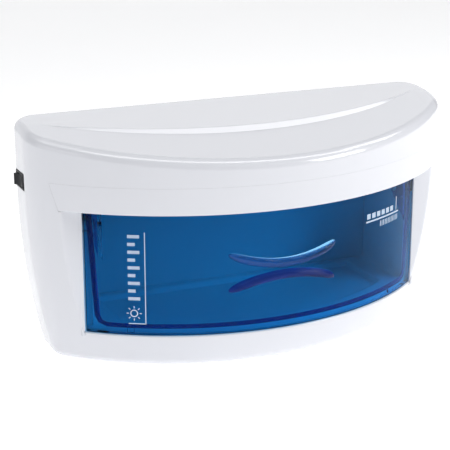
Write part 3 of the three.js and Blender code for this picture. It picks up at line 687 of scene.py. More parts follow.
def visor_mesh(outer):
    fine_gap = 0.07
    grow = GAP - fine_gap
    band = kept(visor_band(grow), box(-200, 200, -95, 9, LIP_Z, SEAM_Z + grow))
    strip = cut(kept(outer, band), visor_core(STRIP_T))
    return cut(strip, lip_edge_cutter())


# ---- Door
def on_drum(points, radius):
    """Flat points (arc length, depth in from radius, height) wrapped round the drum."""
    turn = points[:, 0] / radius
    r = radius - points[:, 1]
    return np.column_stack(
        [r * np.sin(turn), FRONT_CENTRE_Y - r * np.cos(turn), points[:, 2]]
    )


def door_sheet():
    reach = DOOR_R * math.asin(DOOR_HALF / DOOR_R)
    points, faces = rounded_block(
        (-reach, 0, DOOR_LOW_Z), (reach, DOOR_T, DOOR_TOP_Z), 0.9, (160, 1, 24)
    )
    return mesh_of(on_drum(points, DOOR_R), faces)


def door_rib():
    """The raised rib inside the door: a U that follows its side and lower edges."""
    low = DOOR_LOW_Z + 5
    top = DOOR_TOP_Z - 1
    outside = [(134, low), (139.4, low + 3), (141.5, low + 8), (146, top)]
    inside = [(146 - RIB_W, top), (141.5 - RIB_W, low + 9), (137, low + 5.2)]
    inside.append((133, low + RIB_W))
    right = outside + inside
    band = right + [(-x, z) for x, z in reversed(right)]
    inner_r = DOOR_R - DOOR_T - RIB_DEPTH
    sheet = drum_sheet(DOOR_R - DOOR_T - BAR_SEAT, inner_r, low - 1, top, DOOR_HALF)
    return kept(sheet, prism("y", band, -90, 40))


def handle_bar(mid_z, bend):
    """One raised bar with a rounded crown; bend is +1 where its ends rise."""
    steps, sides = 72, 20
    rings = []
    for i in range(steps + 1):
        t = -math.cos(math.pi * i / steps)
        x = BAR_HALF * t
        z = mid_z + bend * BAR_SAG * t * t
        share = max(0.0, 1 - abs(t) ** 9) ** 0.5
        half = max(0.25, BAR_W / 2 * share)
        proud = max(0.2, BAR_PROUD * min(1.0, share * 1.05))
        ring = []
        for k in range(sides + 1):
            turn = math.pi * k / sides
            across = math.copysign(abs(math.cos(turn)) ** 0.8, math.cos(turn))
            out = math.sin(turn) ** 0.7 if 0 < k < sides else 0.05
            ring.append((x, z + half * across, max(2 * BAR_SEAT, proud * out)))
        ring += [(x, z - half, BAR_SEAT), (x, z + half, BAR_SEAT)]
        rings.append(np.array([(px, drum_y(DOOR_R + out, px), pz) for px, pz, out in ring]))
    return faced_outward(loft(rings))


def door_arm():
    side = [(-8.5, 90), (12.5, 112), (12.5, 122), (2, 134), (-8.5, 134)]
    arm = prism("x", side, ARM_IN, ARM_OUT)
    return kept(arm, front_drum(DOOR_R - 1, 80, 140))


def door_inner_y(x):
    return drum_y(DOOR_R - DOOR_T, x)


def door_mesh():
    arm = door_arm()
    door = joined(door_sheet(), arm, mirrored(arm))
    limit = cut(
        front_drum(DOOR_R - 1, 20, 60),
        front_drum(DOOR_R - DOOR_T - RIB_DEPTH, 19, 61),
    )
    nub_x, nub_r = 118, 3
    for x in (-nub_x, nub_x):
        centre = (x, door_inner_y(x))
        nub = rod("z", centre, nub_r, DOOR_LOW_Z + 1, DOOR_LOW_Z + 5.5, 32)
        door = joined(door, kept(nub, limit))
    return cut(door, rod("x", PIVOT, PIN_HOLE_R, -145, 145, 32))


def print_on_door(shapes):
    """Thin printed shapes on the face of the door, each a plan of (arc length, height)."""
    points, faces = [], []
    for plan in shapes:
        if area_of(plan) < 0:
            plan = plan[::-1]
        start = len(points)
        count = len(plan)
        for depth in (-0.05, -0.16):
            points += [(u, depth, z) for u, z in plan]
        faces.append(tuple(start + i for i in reversed(range(count))))
        faces.append(tuple(start + count + i for i in range(count)))
        for i in range(count):
            j = (i + 1) % count
            faces.append((start + i, start + j, start + count + j, start + count + i))
    return mesh_of(on_drum(np.array(points), DOOR_R), faces)


def bar_shape(u0, u1, z0, z1):
    """A rectangle cut along its length, so that it follows the curve of the door."""
    steps = max(1, int(abs(u1 - u0) / 2))
    low = [(u, z0) for u in np.linspace(u0, u1, steps + 1)]
    high = [(u, z1) for u in np.linspace(u1, u0, steps + 1)]
    return low + high


def ring_shapes(u, z, outer, inner, parts=24):
    """A ring as small quads."""
    shapes = []
    for i in range(parts):
        a, b = 2 * math.pi * i / parts, 2 * math.pi * (i + 1) / parts
        corners = ((outer, a), (outer, b), (inner, b), (inner, a))
        shapes.append([polar((u, z), r, t) for r, t in corners])
    return shapes


def sun_mark(u, z, radius):
    """A plain ring with eight short rays."""
    shapes = ring_shapes(u, z, radius, radius * 0.7)
    for i in range(8):
        turn = math.pi / 4 * i
        c, s = math.cos(turn), math.sin(turn)
        half = radius * 0.12
        ray = []
        for r, w in ((1.35, -half), (1.9, -half), (1.9, half), (1.35, half)):
            ray.append((u + radius * r * c - w * s, z + radius * r * s + w * c))
        shapes.append(ray)
    return shapes


# ---- Chamber liner
def ceiling_front_y(x):
    reach = PIVOT_Y - door_inner_y(x) - RIB_DEPTH - 1.6
    rise = CEILING_Z + LINER_T - PIVOT_Z
    turn = min(DOOR_OPEN, math.asin(min(1, rise / reach)))
    return PIVOT_Y + (rise * math.sin(turn) - reach) / math.cos(turn)


def ceiling_notch():
    edge = [(x, ceiling_front_y(x)) for x in np.linspace(-LINER_HALF - 1, LINER_HALF + 1, 81)]
    plan = [(LINER_HALF + 1, -90), (-LINER_HALF - 1, -90), *edge]
    return prism("z", plan, CEILING_Z - 6.1, CEILING_Z + 5)


def pan_ring(inset, z):
    half = PAN_HALF - inset
    radius = PAN_R - inset
    front = [(x, drum_y(radius, x), z) for x in np.linspace(-half, half, 65)]
    back = PAN_BACK_Y - inset
    return np.array(front + [(half, back, z), (-half, back, z)])


def pan_cutter():
    """The recess of the floor pan, with a soft edge above and a soft foot below."""
    edge = 1.4
    start = FLOOR_Z - edge
    rings = [pan_ring(PAN_DEPTH, FLOOR_Z - PAN_DEPTH)]
    rings.append(pan_ring(PAN_DEPTH * 0.7, FLOOR_Z - PAN_DEPTH + 0.4))
    rings.append(pan_ring(edge * 0.9, start))
    for turn in np.radians((30, 60, 90)):
        inset = edge * 0.9 - 2.2 * edge * (1 - math.cos(turn))
        rings.append(pan_ring(inset, start + edge * math.sin(turn)))
    rings.append(pan_ring(-edge * 1.2, FLOOR_Z + 0.4))
    return loft(rings)


def liner_mesh():
    z0 = FLOOR_Z - LINER_T
    z1 = CEILING_Z + LINER_T
    inner = LINER_HALF - LINER_T
    drum = front_drum(LINER_FRONT_R, 20, 160)
    body = kept(box(-LINER_HALF, LINER_HALF, -90, LINER_BACK_Y, z0, z1), drum)
    body = joined(body, loft([pan_ring(PAN_DEPTH - 2, z0 - PAN_DEPTH), pan_ring(-2, z0 + 0.1)]))
    cavity = prism("y", rounded_plan(-inner, inner, FLOOR_Z, CEILING_Z, 5, 10), -90, 90)
    body = cut(body, cavity, pan_cutter(), ceiling_notch())
    # The side walls give way to the door's top corners, but keep an ear round each pin.
    ear_r, notch_y, notch_z = 9.5, 13, 108
    ear = rod("x", PIVOT, ear_r, -FAR, FAR, 64)
    notch = cut(box(1 - FAR, FAR - 1, -90, notch_y, notch_z, z1 + 1), ear)
    notch = cut(notch, box(-inner, inner, -91, 90, 100, FAR))
    body = cut(body, notch)
    lip = cut(drum, front_drum(LINER_FRONT_R - LINER_T, 19, 161))
    flange_end = MOUTH_HALF - 0.4
    lip = kept(lip, box(-flange_end, flange_end, -90, 20, SILL_Z + GAP, z0 + 0.5))
    flange_top_z = 112
    flange = box(LINER_HALF - 0.5, flange_end, 3, 5, SILL_Z + GAP, flange_top_z)
    boss_r, boss_end_x = 5, 148
    boss = rod("x", PIVOT, boss_r, LINER_HALF - 0.5, boss_end_x, 40)
    body = joined(body, lip, flange, mirrored(flange), boss, mirrored(boss))
    holes = [rod("x", PIVOT, PIN_HOLE_R, -149, 149, 32)]
    holes.append(rod("x", LAMP, 10.5, -160, 160, 64))
    holes += [rod("z", c, SCREW_HOLE_R, 138, 150, 24) for c in BALLAST_SCREWS]
    return cut(body, *holes)


# ---- Rear panel, base plate, feet and screws
def rear_panel_mesh():
    vents, vent_pitch, vent_w, first_x = 9, 12, 4, -66
    vent_low, vent_high = 151, 171
    edge = PANEL_HALF - COVER_GAP
    low, high = PANEL_LOW_Z + COVER_GAP, PANEL_HIGH_Z - COVER_GAP
    plan = rounded_plan(-edge, edge, low, high, 2.7)
    panel = prism("y", plan, PANEL_IN_Y, BACK_Y)
    tools = []
    for i in range(vents):
        x = first_x + i * vent_pitch
        slot = rounded_plan(x, x + vent_w, vent_low, vent_high, vent_w / 2 - 0.01)
        tools.append(prism("y", slot, 60, 75))
    tools += [rod("y", c, SCREW_HOLE_R, 60, 75, 24) for c in REAR_SCREWS]
    tools.append(rod("y", GLAND, GLAND_HOLE_R, 60, 75, 48))
    return cut(panel, *tools)


def base_plate_mesh():
    plate = base_region(COVER_GAP, *BASE_Z)
    return cut(plate, *(rod("z", c, SCREW_HOLE_R, 0, 9, 24) for c in BASE_SCREWS))


def foot_mesh(centre):
    top = BASE_Z[0] - GAP
    profile = [(0, top), (FOOT_R - 0.2, top), (FOOT_R, top - 0.2), (FOOT_R - 0.25, 0.45)]
    profile += [(FOOT_R - 0.55, 0.12), (FOOT_R - 1.0, 0), (3.2, 0), (2.8, 0.35), (0, 0.35)]
    return lathe("z", centre, profile)


def screw_mesh(axis, centre, seat, end, outward):
    """A pan-head screw with a cross recess; its head's underside is at seat."""
    head_r, head_t, shank_r = 3.1, 1.4, 1.5
    crown = []
    for turn in np.radians(np.linspace(0, 90, 7)):
        rise = head_t - 0.75 + 0.75 * math.sin(turn)
        crown.append((head_r - 0.9 + 0.9 * math.cos(turn), seat + outward * rise))
    profile = [(0, end), (shank_r * 0.35, end), (shank_r, end + outward * 1.5)]
    profile += [(shank_r, seat), (head_r, seat), *crown, (0, seat + outward * head_t)]
    screw = lathe(axis, centre, profile, 40)
    ends = sorted(seat + outward * (head_t + depth) for depth in (-0.8, 0.3))
    signs = ((-1, -1), (1, -1), (1, 1), (-1, 1))
    arms = []
    for half_a, half_b in ((1.75, 0.3), (0.3, 1.75)):
        plan = [(centre[0] + a * half_a, centre[1] + b * half_b) for a, b in signs]
        arms.append(prism(axis, plan, *ends))
    return cut(screw, *arms)


# ---- Lamp
def tube_mesh():
    """A glass tube with a wall and softly drawn-in ends."""
    end, wall = 134, 0.9
    profile = [(0, -end), (LAMP_R - 1.4, -end), (LAMP_R - 0.4, -end + 0.6), (LAMP_R, -end + 2)]
    profile += [(LAMP_R, end - 2), (LAMP_R - 0.4, end - 0.6), (LAMP_R - 1.4, end), (0, end)]
    outer = lathe("x", LAMP, profile)
    return cut(outer, rod("x", LAMP, LAMP_R - wall, -end + 1.5, end - 1.5, 64))


def electrode_mesh(side):
    """The glass stem, two support wires and the coiled filament at one end of the tube."""
    start = side * 132.2
    stem = [(0, start), (3.4, start), (3.2, start - side * 4), (2.2, start - side * 9)]
    stem += [(1.2, start - side * 12), (0, start - side * 12)]
    made = lathe("x", LAMP, stem, 24)
    tip = start - side * 21
    ends = sorted((start - side, tip))
    for z in (-2.6, 2.6):
        made = joined(made, rod("x", (LAMP_Y, LAMP_Z + z), 0.35, *ends, 12))
    turns, wire_r = 9, 0.22
    up = np.array([0, 0, 1.0])
    rings = []
    for i in range(turns * 14 + 1):
        turn = 2 * math.pi * i / 14
        z = LAMP_Z - 2.6 + 5.2 * i / (turns * 14)
        centre = np.array([tip + 0.75 * math.cos(turn), LAMP_Y + 0.75 * math.sin(turn), z])
        out = np.array([math.cos(turn), math.sin(turn), 0])
        ring = []
        for a in np.arange(6) * math.pi / 3:
            ring.append(centre + wire_r * (out * math.cos(a) + up * math.sin(a)))
        rings.append(np.array(ring))
    coil = loft(rings)
    coil.flip_normals()
    return joined(made, coil)


def cap_mesh(side):
    """The metal cap at one end of the tube, with its two contact pins."""
    a, b = side * CAP_START_X, side * CAP_FACE_X
    profile = [(0, a), (CAP_R - 0.25, a), (CAP_R, a + side * 0.3), (CAP_R, a + side * 2.0)]
    profile += [(CAP_R - 0.3, a + side * 2.5), (CAP_R, a + side * 3.0), (CAP_R, b - side * 0.9)]
    profile += [(CAP_R - 0.3, b - side * 0.3), (CAP_R - 1.0, b), (0, b)]
    made = lathe("x", LAMP, profile)
    for k in (-1, 1):
        tip = b + side * CONTACT_REACH
        pin = [(0, b - side), (CONTACT_R, b - side), (CONTACT_R, tip - side * 0.7)]
        pin += [(CONTACT_R - 0.35, tip - side * 0.15), (CONTACT_R - 0.8, tip), (0, tip)]
        made = joined(made, lathe("x", (LAMP_Y, LAMP_Z + k * CONTACT_PITCH / 2), pin, 24))
    return made


# ---- Switch and gland
def switch_mesh():
    y, z = SWITCH_Y, SWITCH_Z
    half_y, half_z = BEZEL_HALF
    deep_x = BEZEL_SEAT_X + 0.4
    bezel = rounded_box(
        BEZEL_FACE_X, deep_x, y - half_y, y + half_y, z - half_z, z + half_z, 0.9
    )
    bezel = kept(bezel, box(-FAR, BEZEL_SEAT_X, 0, FAR, 0, FAR))
    core = switch_block(BEZEL_SEAT_X - 1, SWITCH_BACK_X, *SWITCH_CORE_HALF)
    half = ROCKER_HALF_Z + 0.4
    well_y = SWITCH_CORE_HALF[0] - GAP
    well_plan = rounded_plan(y - well_y, y + well_y, z - half, z + half, 0.8)
    well = prism("x", well_plan, -FAR, ROCKER_PIVOT_X + 4.5)
    reach = ROCKER_HALF_Z + 1.2
    axle = rod("z", (ROCKER_PIVOT_X, y), 1.5, z - reach, z + reach, 24)
    return cut(joined(bezel, core), well, axle)


def rocker_mesh():
    end = 7.4
    profile = [(-end, -2), (end, -2), (end, 7.5), (end - 0.4, 7.85)]
    for along in np.linspace(end - 0.9, -end + 0.9, 23):
        profile.append((along, 6 + 1.9 * (abs(along) / end) ** 1.6))
    profile += [(-end + 0.4, 7.85), (-end, 7.5)]
    plan = []
    for along, out in profile:
        y = along * math.cos(ROCKER_TILT) - out * math.sin(ROCKER_TILT)
        outward = along * math.sin(ROCKER_TILT) + out * math.cos(ROCKER_TILT)
        plan.append((ROCKER_PIVOT_X - outward, SWITCH_Y + y))
    low, high = SWITCH_Z - ROCKER_HALF_Z, SWITCH_Z + ROCKER_HALF_Z
    axle = rod("z", (ROCKER_PIVOT_X, SWITCH_Y), 1.2, low - 0.9, high + 0.9, 24)
    return joined(prism("z", plan, low, high), axle)


def gland_mesh():
    start, face = BACK_Y + GAP, BACK_Y + 2.2
    profile = [(3.6, 57), (5.9, 57), (5.9, start), (9, start), (9, face - 0.7)]
    profile += [(8.8, face - 0.2), (8.3, face), (5.2, face), (4.6, face - 0.25), (3.6, face - 1)]
    gland = lathe("y", GLAND, profile)
    notches = []
    for i in range(12):
        centre = polar(GLAND, 9.35, 2 * math.pi * i / 12)
        notches.append(rod("y", centre, 0.7, start - 0.01, face + 1, 16))
    return cut(gland, *notches)


def pin_mesh():
    """A hinge pin with a domed head inside the right-hand arm."""
    seat = ARM_IN - GAP
    profile = [(0, ARM_IN - 1.8), (1.8, ARM_IN - 1.75), (2.9, ARM_IN - 1.5), (3.5, ARM_IN - 0.9)]
    profile += [(3.6, seat), (2, seat), (2, 146.5), (1.6, 147), (0, 147)]
    return lathe("x", PIVOT, profile, 40)


# ---- Materials
class Look:
    """A node material with helpers that add and link nodes."""

    def __init__(self, name):
        self.material = bpy.data.materials.new(name)
        self.material.use_nodes = True
        self.tree = self.material.node_tree
        self.shader = self.tree.nodes["Principled BSDF"]
        self.output = self.tree.nodes["Material Output"]
        self.place = self.node("ShaderNodeTexCoord").outputs["Object"]

    def node(self, kind, inputs=(), **values):
        """A new node with its properties set, and its inputs set or linked."""
        made = self.tree.nodes.new(kind)
        for key, value in values.items():
            setattr(made, key, value)
        for socket, value in dict(inputs).items():
            if isinstance(value, bpy.types.NodeSocket):
                self.link(value, made.inputs[socket])
            else:
                made.inputs[socket].default_value = value
        return made

    def link(self, source, target):
        self.tree.links.new(source, target)

    def feed(self, socket, source):
        """Links a source to a socket of the main shader."""
        self.link(source, self.shader.inputs[socket])

    def set(self, **values):
        for key, value in values.items():
            self.shader.inputs[key.replace("_", " ")].default_value = value

    def noise(self, scale, detail=3.0, rough=0.55, stretch=None):
        source = self.place
        if stretch:
            turned = self.node("ShaderNodeMapping", {"Vector": source, "Scale": stretch})
            source = turned.outputs["Vector"]
        inputs = {"Vector": source, "Scale": scale, "Detail": detail, "Roughness": rough}
        return self.node("ShaderNodeTexNoise", inputs).outputs["Fac"]

    def ranged(self, source, low, high, start=0.0, end=1.0):
        """The source's span from start to end, spread from low to high."""
        inputs = {"Value": source, "From Min": start, "From Max": end}
        inputs.update({"To Min": low, "To Max": high})
        return self.node("ShaderNodeMapRange", inputs).outputs["Result"]

    def blended(self, factor, first, second):
        made = self.node("ShaderNodeMix", data_type="RGBA")
        self.link(factor, made.inputs["Factor"])
        for socket, colour in (("A", first), ("B", second)):
            target = [s for s in made.inputs if s.name == socket and s.type == "RGBA"][0]
            if isinstance(colour, tuple):
                target.default_value = (*colour, 1)
            else:
                self.link(colour, target)
        return [s for s in made.outputs if s.type == "RGBA"][0]

    def maths(self, operation, first, second):
        made = self.node("ShaderNodeMath", {0: first, 1: second}, operation=operation)
        return made.outputs[0]

    def mottled(self, factor, colour, share):
        """A base colour between a share of the colour and the colour itself."""
        darker = tuple(c * share for c in colour)
        self.feed("Base Color", self.blended(factor, darker, colour))

    def bumped(self, *layers):
        """Chains bump layers of (height source, distance in millimetres)."""
        normal = None
        for height, distance in layers:
            inputs = {"Strength": 1.0, "Distance": distance * MM, "Height": height}
            if normal is not None:
                inputs["Normal"] = normal
            normal = self.node("ShaderNodeBump", inputs).outputs["Normal"]
        self.feed("Normal", normal)

    def pass_lamps(self, tint):
        """Lets shadow rays through with a plain tint."""
        clear = self.node("ShaderNodeBsdfTransparent", {"Color": (*tint, 1)})
        ray = self.node("ShaderNodeLightPath").outputs["Is Shadow Ray"]
        inputs = {"Fac": ray, 1: self.shader.outputs[0], 2: clear.outputs[0]}
        mixed = self.node("ShaderNodeMixShader", inputs)
        self.link(mixed.outputs[0], self.output.inputs["Surface"])


def glossy_white(name, colour, gloss, coat=0.8):
    """Moulded white plastic: faint flow marks, a trace of orange peel and light scuffs."""
    look = Look(name)
    look.mottled(look.noise(9, 2, 0.5, (1.0, 1.0, 0.35)), colour, 0.965)
    smear = look.ranged(look.noise(38, 5, 0.62), -0.035, 0.05)
    scuff = look.ranged(look.noise(520, 2, 0.5, (1.0, 0.14, 0.14)), 0.0, 0.03, 0.66, 0.74)
    rough = look.maths("ADD", look.maths("ADD", smear, gloss), scuff)
    look.feed("Roughness", rough)
    look.set(Coat_Weight=coat, Coat_Roughness=0.06, IOR=1.5)
    look.bumped((look.noise(150, 2, 0.45), 0.012), (look.noise(900, 2, 0.5), 0.003))
    return look.material


def satin_plastic(name, colour, rough=0.42, grain=0.035, scale=1400, shine=0.5):
    """Fine spark-eroded grain with a little uneven sheen."""
    look = Look(name)
    look.mottled(look.noise(24, 4, 0.6), colour, 0.93)
    look.feed("Roughness", look.ranged(look.noise(60, 4, 0.6), rough - 0.06, rough + 0.08))
    look.set(Specular_IOR_Level=shine)
    look.bumped((look.noise(scale, 3, 0.6), grain))
    return look.material


def blue_acrylic(name, tint, bend):
    """Clear tinted acrylic that lets lamps through, with faint smears and fine scratches."""
    look = Look(name)
    smear = look.ranged(look.noise(30, 5, 0.65), 0.012, 0.05)
    scratch = look.ranged(look.noise(900, 1, 0.5, (0.08, 0.08, 1.0)), 0.0, 0.05, 0.70, 0.76)
    look.feed("Roughness", look.maths("ADD", smear, scratch))
    look.mottled(look.noise(6, 2, 0.5), tint, 0.95)
    look.set(Transmission_Weight=1.0, IOR=bend)
    look.bumped((look.noise(60, 2, 0.5), 0.01))
    # A shadow ray meets both faces of the sheet, so each face takes half of the tint.
    look.pass_lamps(math.sqrt(c) for c in tint)
    return look.material


def clear_glass(name):
    """Clear quartz with a thin uneven film."""
    look = Look(name)
    hazy = (0.93, 0.95, 0.97)
    look.feed("Roughness", look.ranged(look.noise(45, 4, 0.6), 0.01, 0.04))
    film = look.noise(20, 3, 0.5)
    look.feed("Base Color", look.blended(film, hazy, (0.98, 0.99, 1.0)))
    look.set(Transmission_Weight=1.0, IOR=1.46)
    look.bumped((look.noise(80, 2, 0.5), 0.006))
    look.pass_lamps(hazy)
    return look.material


def metal(name, colour, rough, stretch=(1.0, 1.0, 1.0), scale=700, bump=0.01):
    """Metal with drawn or ground lines along the axis that stretch keeps small."""
    look = Look(name)
    lines = look.noise(scale, 4, 0.6, stretch)
    stain = look.noise(40, 4, 0.6)
    look.mottled(stain, colour, 0.8)
    spread = look.maths("ADD", look.ranged(lines, -0.07, 0.09), rough)
    look.feed("Roughness", look.maths("ADD", spread, look.ranged(stain, -0.03, 0.06)))
    look.set(Metallic=1.0)
    look.bumped((lines, bump))
    return look.material


def rubber(name, colour):
    look = Look(name)
    dust = look.ranged(look.noise(90, 5, 0.7), 0.0, 1.0, 0.45, 0.8)
    lighter = tuple(c + 0.05 for c in colour)
    look.feed("Base Color", look.blended(dust, colour, lighter))
    look.feed("Roughness", look.ranged(look.noise(200, 4, 0.6), 0.68, 0.9))
    look.bumped((look.noise(1600, 3, 0.6), 0.05), (look.noise(260, 3, 0.5), 0.03))
    return look.material


def lacquer(name, colour):
    """Dipped lacquer over stacked sheets, with runs and a dull film."""
    look = Look(name)
    run = look.noise(70, 4, 0.6, (1.0, 1.0, 0.3))
    lighter = tuple(c * 1.35 + 0.01 for c in colour)
    look.feed("Base Color", look.blended(run, colour, lighter))
    look.feed("Roughness", look.ranged(run, 0.28, 0.55))
    sheets = look.noise(1100, 1, 0.4, (1.0, 0.02, 0.02))
    look.set(Metallic=0.35)
    look.bumped((sheets, 0.12), (run, 0.08))
    return look.material


def floor_look():
    look = Look("floor_paper")
    cloud = look.noise(3, 3, 0.5)
    look.feed("Base Color", look.blended(cloud, (0.90, 0.90, 0.905), (0.93, 0.93, 0.935)))
    look.feed("Roughness", look.ranged(look.noise(40, 3, 0.5), 0.75, 0.9))
    look.set(Specular_IOR_Level=0.1, Emission_Color=(1, 1, 1, 1), Emission_Strength=0.5)
    return look.material


ABS = glossy_white("abs_gloss_white", (0.825, 0.835, 0.88), 0.17)
TRIM = glossy_white("abs_trim_white", (0.83, 0.84, 0.885), 0.16)
LINER = glossy_white("liner_gloss_white", (0.84, 0.85, 0.87), 0.24, 0.2)
SATIN = satin_plastic("satin_white", (0.79, 0.79, 0.81))
HOLDER = satin_plastic("holder_plastic", (0.74, 0.73, 0.68), 0.5, 0.03)
BLACK = satin_plastic("switch_black_plastic", (0.010, 0.011, 0.014), 0.42, 0.02, 1800, 0.25)
PRINT = satin_plastic("door_print", (0.55, 0.70, 0.84), 0.5, 0.004)
ACRYLIC = blue_acrylic("door_blue_acrylic", (0.06, 0.45, 0.78), 1.16)
# The upper bar is the same acrylic as the lower one; its lighter blue tint is a painted
# reflection of the key light on its lit side.
UPPER_BAR_PAINTED_LIGHT_BLUE = blue_acrylic("upper_bar_acrylic_painted_light", (0.24, 0.58, 0.90), 1.35)
# The lower bar is the same acrylic as the upper one; its darker violet tint is painted shade on
# its underside.
LOWER_BAR_PAINTED_SHADE_BLUE = blue_acrylic("lower_bar_acrylic_painted_shade", (0.10, 0.20, 0.62), 1.28)
RIB_BLUE = blue_acrylic("rib_blue_acrylic", (0.12, 0.14, 0.45), 1.2)
QUARTZ = clear_glass("lamp_quartz")
RUBBER = rubber("foot_rubber_black", (0.03, 0.03, 0.032))
ZINC = metal("zinc_steel", (0.62, 0.63, 0.65), 0.3)
ROLLED = metal("rolled_aluminium", (0.86, 0.87, 0.89), 0.2, (0.03, 1.0, 1.0), 900, 0.006)
BRASS = metal("tinned_brass", (0.74, 0.55, 0.24), 0.3, (1.0, 1.0, 0.1))
IRON = lacquer("ballast_lacquer", (0.16, 0.18, 0.21))
WIRE = satin_plastic("lead_sleeve", (0.03, 0.08, 0.28), 0.4, 0.02, 800)


# ---- Building the pieces
outer_volume = stepped_volume(0)
piece("shell_skin", shell_mesh(outer_volume), "cabinet", ABS, ["outer_shell"])
piece("visor_trim", visor_mesh(outer_volume), "cabinet", TRIM, ["visor_strip"])
piece("door_window", door_mesh(), "door", ACRYLIC, ["door_panel"])
piece("door_rib_band", door_rib(), "door", RIB_BLUE)
upper_bar = handle_bar(BAR_MID_Z[0], 1)
lower_bar = handle_bar(BAR_MID_Z[1], -1)
# The two bars' different tints are painted light on the upper bar and painted shade on the lower
# bar.
piece("handle_bar_upper", upper_bar, "door", UPPER_BAR_PAINTED_LIGHT_BLUE)
piece("handle_bar_lower", lower_bar, "door", LOWER_BAR_PAINTED_SHADE_BLUE)
shield = box(LINER_HALF + GAP, MOUTH_HALF + 1, 17.0, 17.9, SILL_Z + GAP, LIP_Z + 2)
piece("gap_shield_right", shield, "cabinet", LINER)
piece("gap_shield_left", mirrored(shield), "cabinet", LINER)
piece("liner_tray", liner_mesh(), "cabinet", LINER, ["chamber_liner"])
cover, plate = rear_panel_mesh(), base_plate_mesh()
piece("rear_cover", cover, "cabinet", SATIN, ["rear_panel"], bevel=0.35)
piece("base_cover", plate, "cabinet", SATIN, ["base_plate"], bevel=0.3)

FEET = {
    "foot_front_left": (-70, -16),
    "foot_front_right": (70, -16),
    "foot_rear_left": (-128, 42),
    "foot_rear_right": (128, 42),
}
for node, centre in FEET.items():
    piece("pad_" + node, foot_mesh(centre), "cabinet", RUBBER, [node])

REAR_SCREW_END_Y = 61
BASE_SCREW_END_Z = 9
SCREWS = (
    ("rear_screw_", REAR_SCREWS, "y", BACK_Y + GAP, REAR_SCREW_END_Y, 1),
    ("base_screw_", BASE_SCREWS, "z", BASE_Z[0] - GAP, BASE_SCREW_END_Z, -1),
)
for word, places, axis, seat, end, outward in SCREWS:
    for i, centre in enumerate(places):
        mesh = screw_mesh(axis, centre, seat, end, outward)
        node = f"{word}{i + 1}"
        piece("head_" + node, mesh, "cabinet", ZINC, [node])

pin = pin_mesh()
piece("pin_right", pin, "cabinet", ZINC, ["hinge_pin_right"])
piece("pin_left", mirrored(pin), "cabinet", ZINC, ["hinge_pin_left"])

piece("tube_glass", tube_mesh(), "lamp", QUARTZ, ["lamp_tube"])
for side, word in ((-1, "left"), (1, "right")):
    piece("electrode_" + word, electrode_mesh(side), "lamp", ZINC)
    node = "lamp_cap_" + word
    piece("end_" + node, cap_mesh(side), "lamp", ROLLED, [node])

rocker = rocker_mesh()
piece("switch_bezel", switch_mesh(), "cabinet", BLACK, ["switch_housing"])
piece("switch_rocker", rocker, "rocker", BLACK, ["rocker_button"], bevel=0.4)
piece("gland_ring", gland_mesh(), "cabinet", BLACK, ["cord_gland"])

# The CAD nodes that stay get their material and soft edges here.
LEADS = ("switch_to_ballast", "switch_to_block", "ballast_to_left_holder")
LEADS += ("ballast_to_starter", "starter_to_right_holder", "gland_to_block")
KEPT = (
    (ROLLED, 0.2, "lamp_reflector"),
    (HOLDER, 0.6, "lamp_holder_left", "lamp_holder_right"),
    (IRON, 0.5, "ballast"),
    (ZINC, 0.3, "ballast_screw_1", "ballast_screw_2"),
    (HOLDER, 0.5, "starter_socket"),
    (SATIN, 0.6, "starter_can"),
    (HOLDER, 0.3, "terminal_block"),
    (BLACK, 0.3, "gland_nut"),
    (BRASS, 0.15, "switch_terminal_front", "switch_terminal_rear"),
    (WIRE, 0, *("lead_" + word for word in LEADS)),
)
for material, bevel, *nodes in KEPT:
    for node in nodes:
        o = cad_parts[node]
        o.data.materials.clear()
        o.data.materials.append(material)
        shade(o.data, 46)
        if bevel:
            add_bevel(o, bevel)

# Plain printed marks on the door.
left_mark = sun_mark(-122, 49, 3.2)
for i in range(9):
    width = 9.5 if i % 2 == 0 else 6.0
    left_mark.append(bar_shape(-126.5, -126.5 + width, 60 + 6.4 * i, 62.6 + 6.4 * i))
left_mark.append(bar_shape(-113.2, -112.4, 41, 116))
left_mark.append(bar_shape(-126.5, -112.4, 40, 40.8))
piece("print_left", print_on_door(left_mark), "door", PRINT)
right_mark = [bar_shape(84 + 6.6 * i, 88.6 + 6.6 * i, 106.2, 110.6) for i in range(6)]
right_mark.append(bar_shape(83, 131, 103.2, 104.6))
right_mark.append(bar_shape(126.4, 127.4, 105.4, 117))
right_mark += [bar_shape(102 + 2.4 * i, 103 + 2.4 * i, 96.8, 101.6) for i in range(12)]
piece("print_right", print_on_door(right_mark), "door", PRINT)


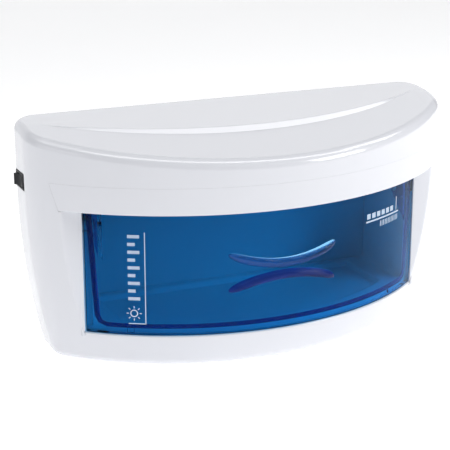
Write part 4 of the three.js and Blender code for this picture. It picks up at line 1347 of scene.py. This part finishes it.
# ---- Floor, light and camera
def stage_floor():
    """A pale floor that curves up into a backdrop."""
    profile = [(-4.0, 0.0), (3.0, 0.0)]
    for turn in np.radians(np.linspace(0, 90, 17)[1:]):
        profile.append((3.0 + 1.2 * math.sin(turn), 1.2 * (1 - math.cos(turn))))
    profile.append((4.2, 4.0))
    points, faces = [], []
    for y, z in profile:
        points += [(-5.0 / MM, y / MM, z / MM), (5.0 / MM, y / MM, z / MM)]
    for i in range(len(profile) - 1):
        faces.append((2 * i, 2 * i + 1, 2 * i + 3, 2 * i + 2))
    mesh = mesh_of(points, faces)
    mesh.materials.append(floor_look())
    mesh.polygons.foreach_set("use_smooth", [True] * len(mesh.polygons))
    placed("floor", mesh)


def area_light(name, place, aim, size, power, colour=(1, 1, 1)):
    data = bpy.data.lights.new(name, "AREA")
    data.shape = "RECTANGLE"
    data.size, data.size_y = size
    data.energy = power
    data.color = colour
    o = placed(name, data)
    o.location = place
    o.rotation_euler = (Vector(aim) - Vector(place)).to_track_quat("-Z", "Y").to_euler()


def set_world(strength, colour):
    world = bpy.data.worlds.new("studio")
    bpy.context.scene.world = world
    world.use_nodes = True
    background = world.node_tree.nodes["Background"]
    background.inputs["Color"].default_value = (*colour, 1)
    background.inputs["Strength"].default_value = strength


def place_camera():
    azimuth, elevation = math.radians(-23.806), math.radians(17.146)
    distance, target = 1.187642, Vector((0, 0.0615, 0.083))
    level = math.cos(elevation)
    away = Vector((math.sin(azimuth) * level, -math.cos(azimuth) * level, math.sin(elevation)))
    data = bpy.data.cameras.new("camera")
    data.lens = 109.26
    data.sensor_width = 36
    o = placed("camera", data)
    o.location = target + away * distance
    o.rotation_euler = (-away).to_track_quat("-Z", "Y").to_euler()
    bpy.context.scene.camera = o


stage_floor()
set_world(0.2, (0.94, 0.955, 1.0))
area_light("key", (1.6, -1.4, 0.95), (0.05, 0, 0.1), (0.9, 0.9), 16.5)
area_light("overhead", (0.2, -0.32, 1.3), (0.2, -0.32, 0), (1.9, 0.3), 6.4)
area_light("overhead_right", (1.35, -0.05, 1.3), (1.35, -0.05, 0), (0.9, 0.4), 4)
area_light("overhead_left", (-0.7, 0.12, 1.3), (-0.7, 0.12, 0), (0.55, 0.7), 1.7)
area_light("ceiling", (-0.4, 0.4, 1.6), (-0.4, 0.4, 0), (1.8, 1.6), 2)
area_light("fill", (-1.9, -0.5, 0.8), (0, 0, 0.1), (1.2, 1.2), 3.4)
place_camera()
bpy.context.scene.view_settings.view_transform = "Standard"
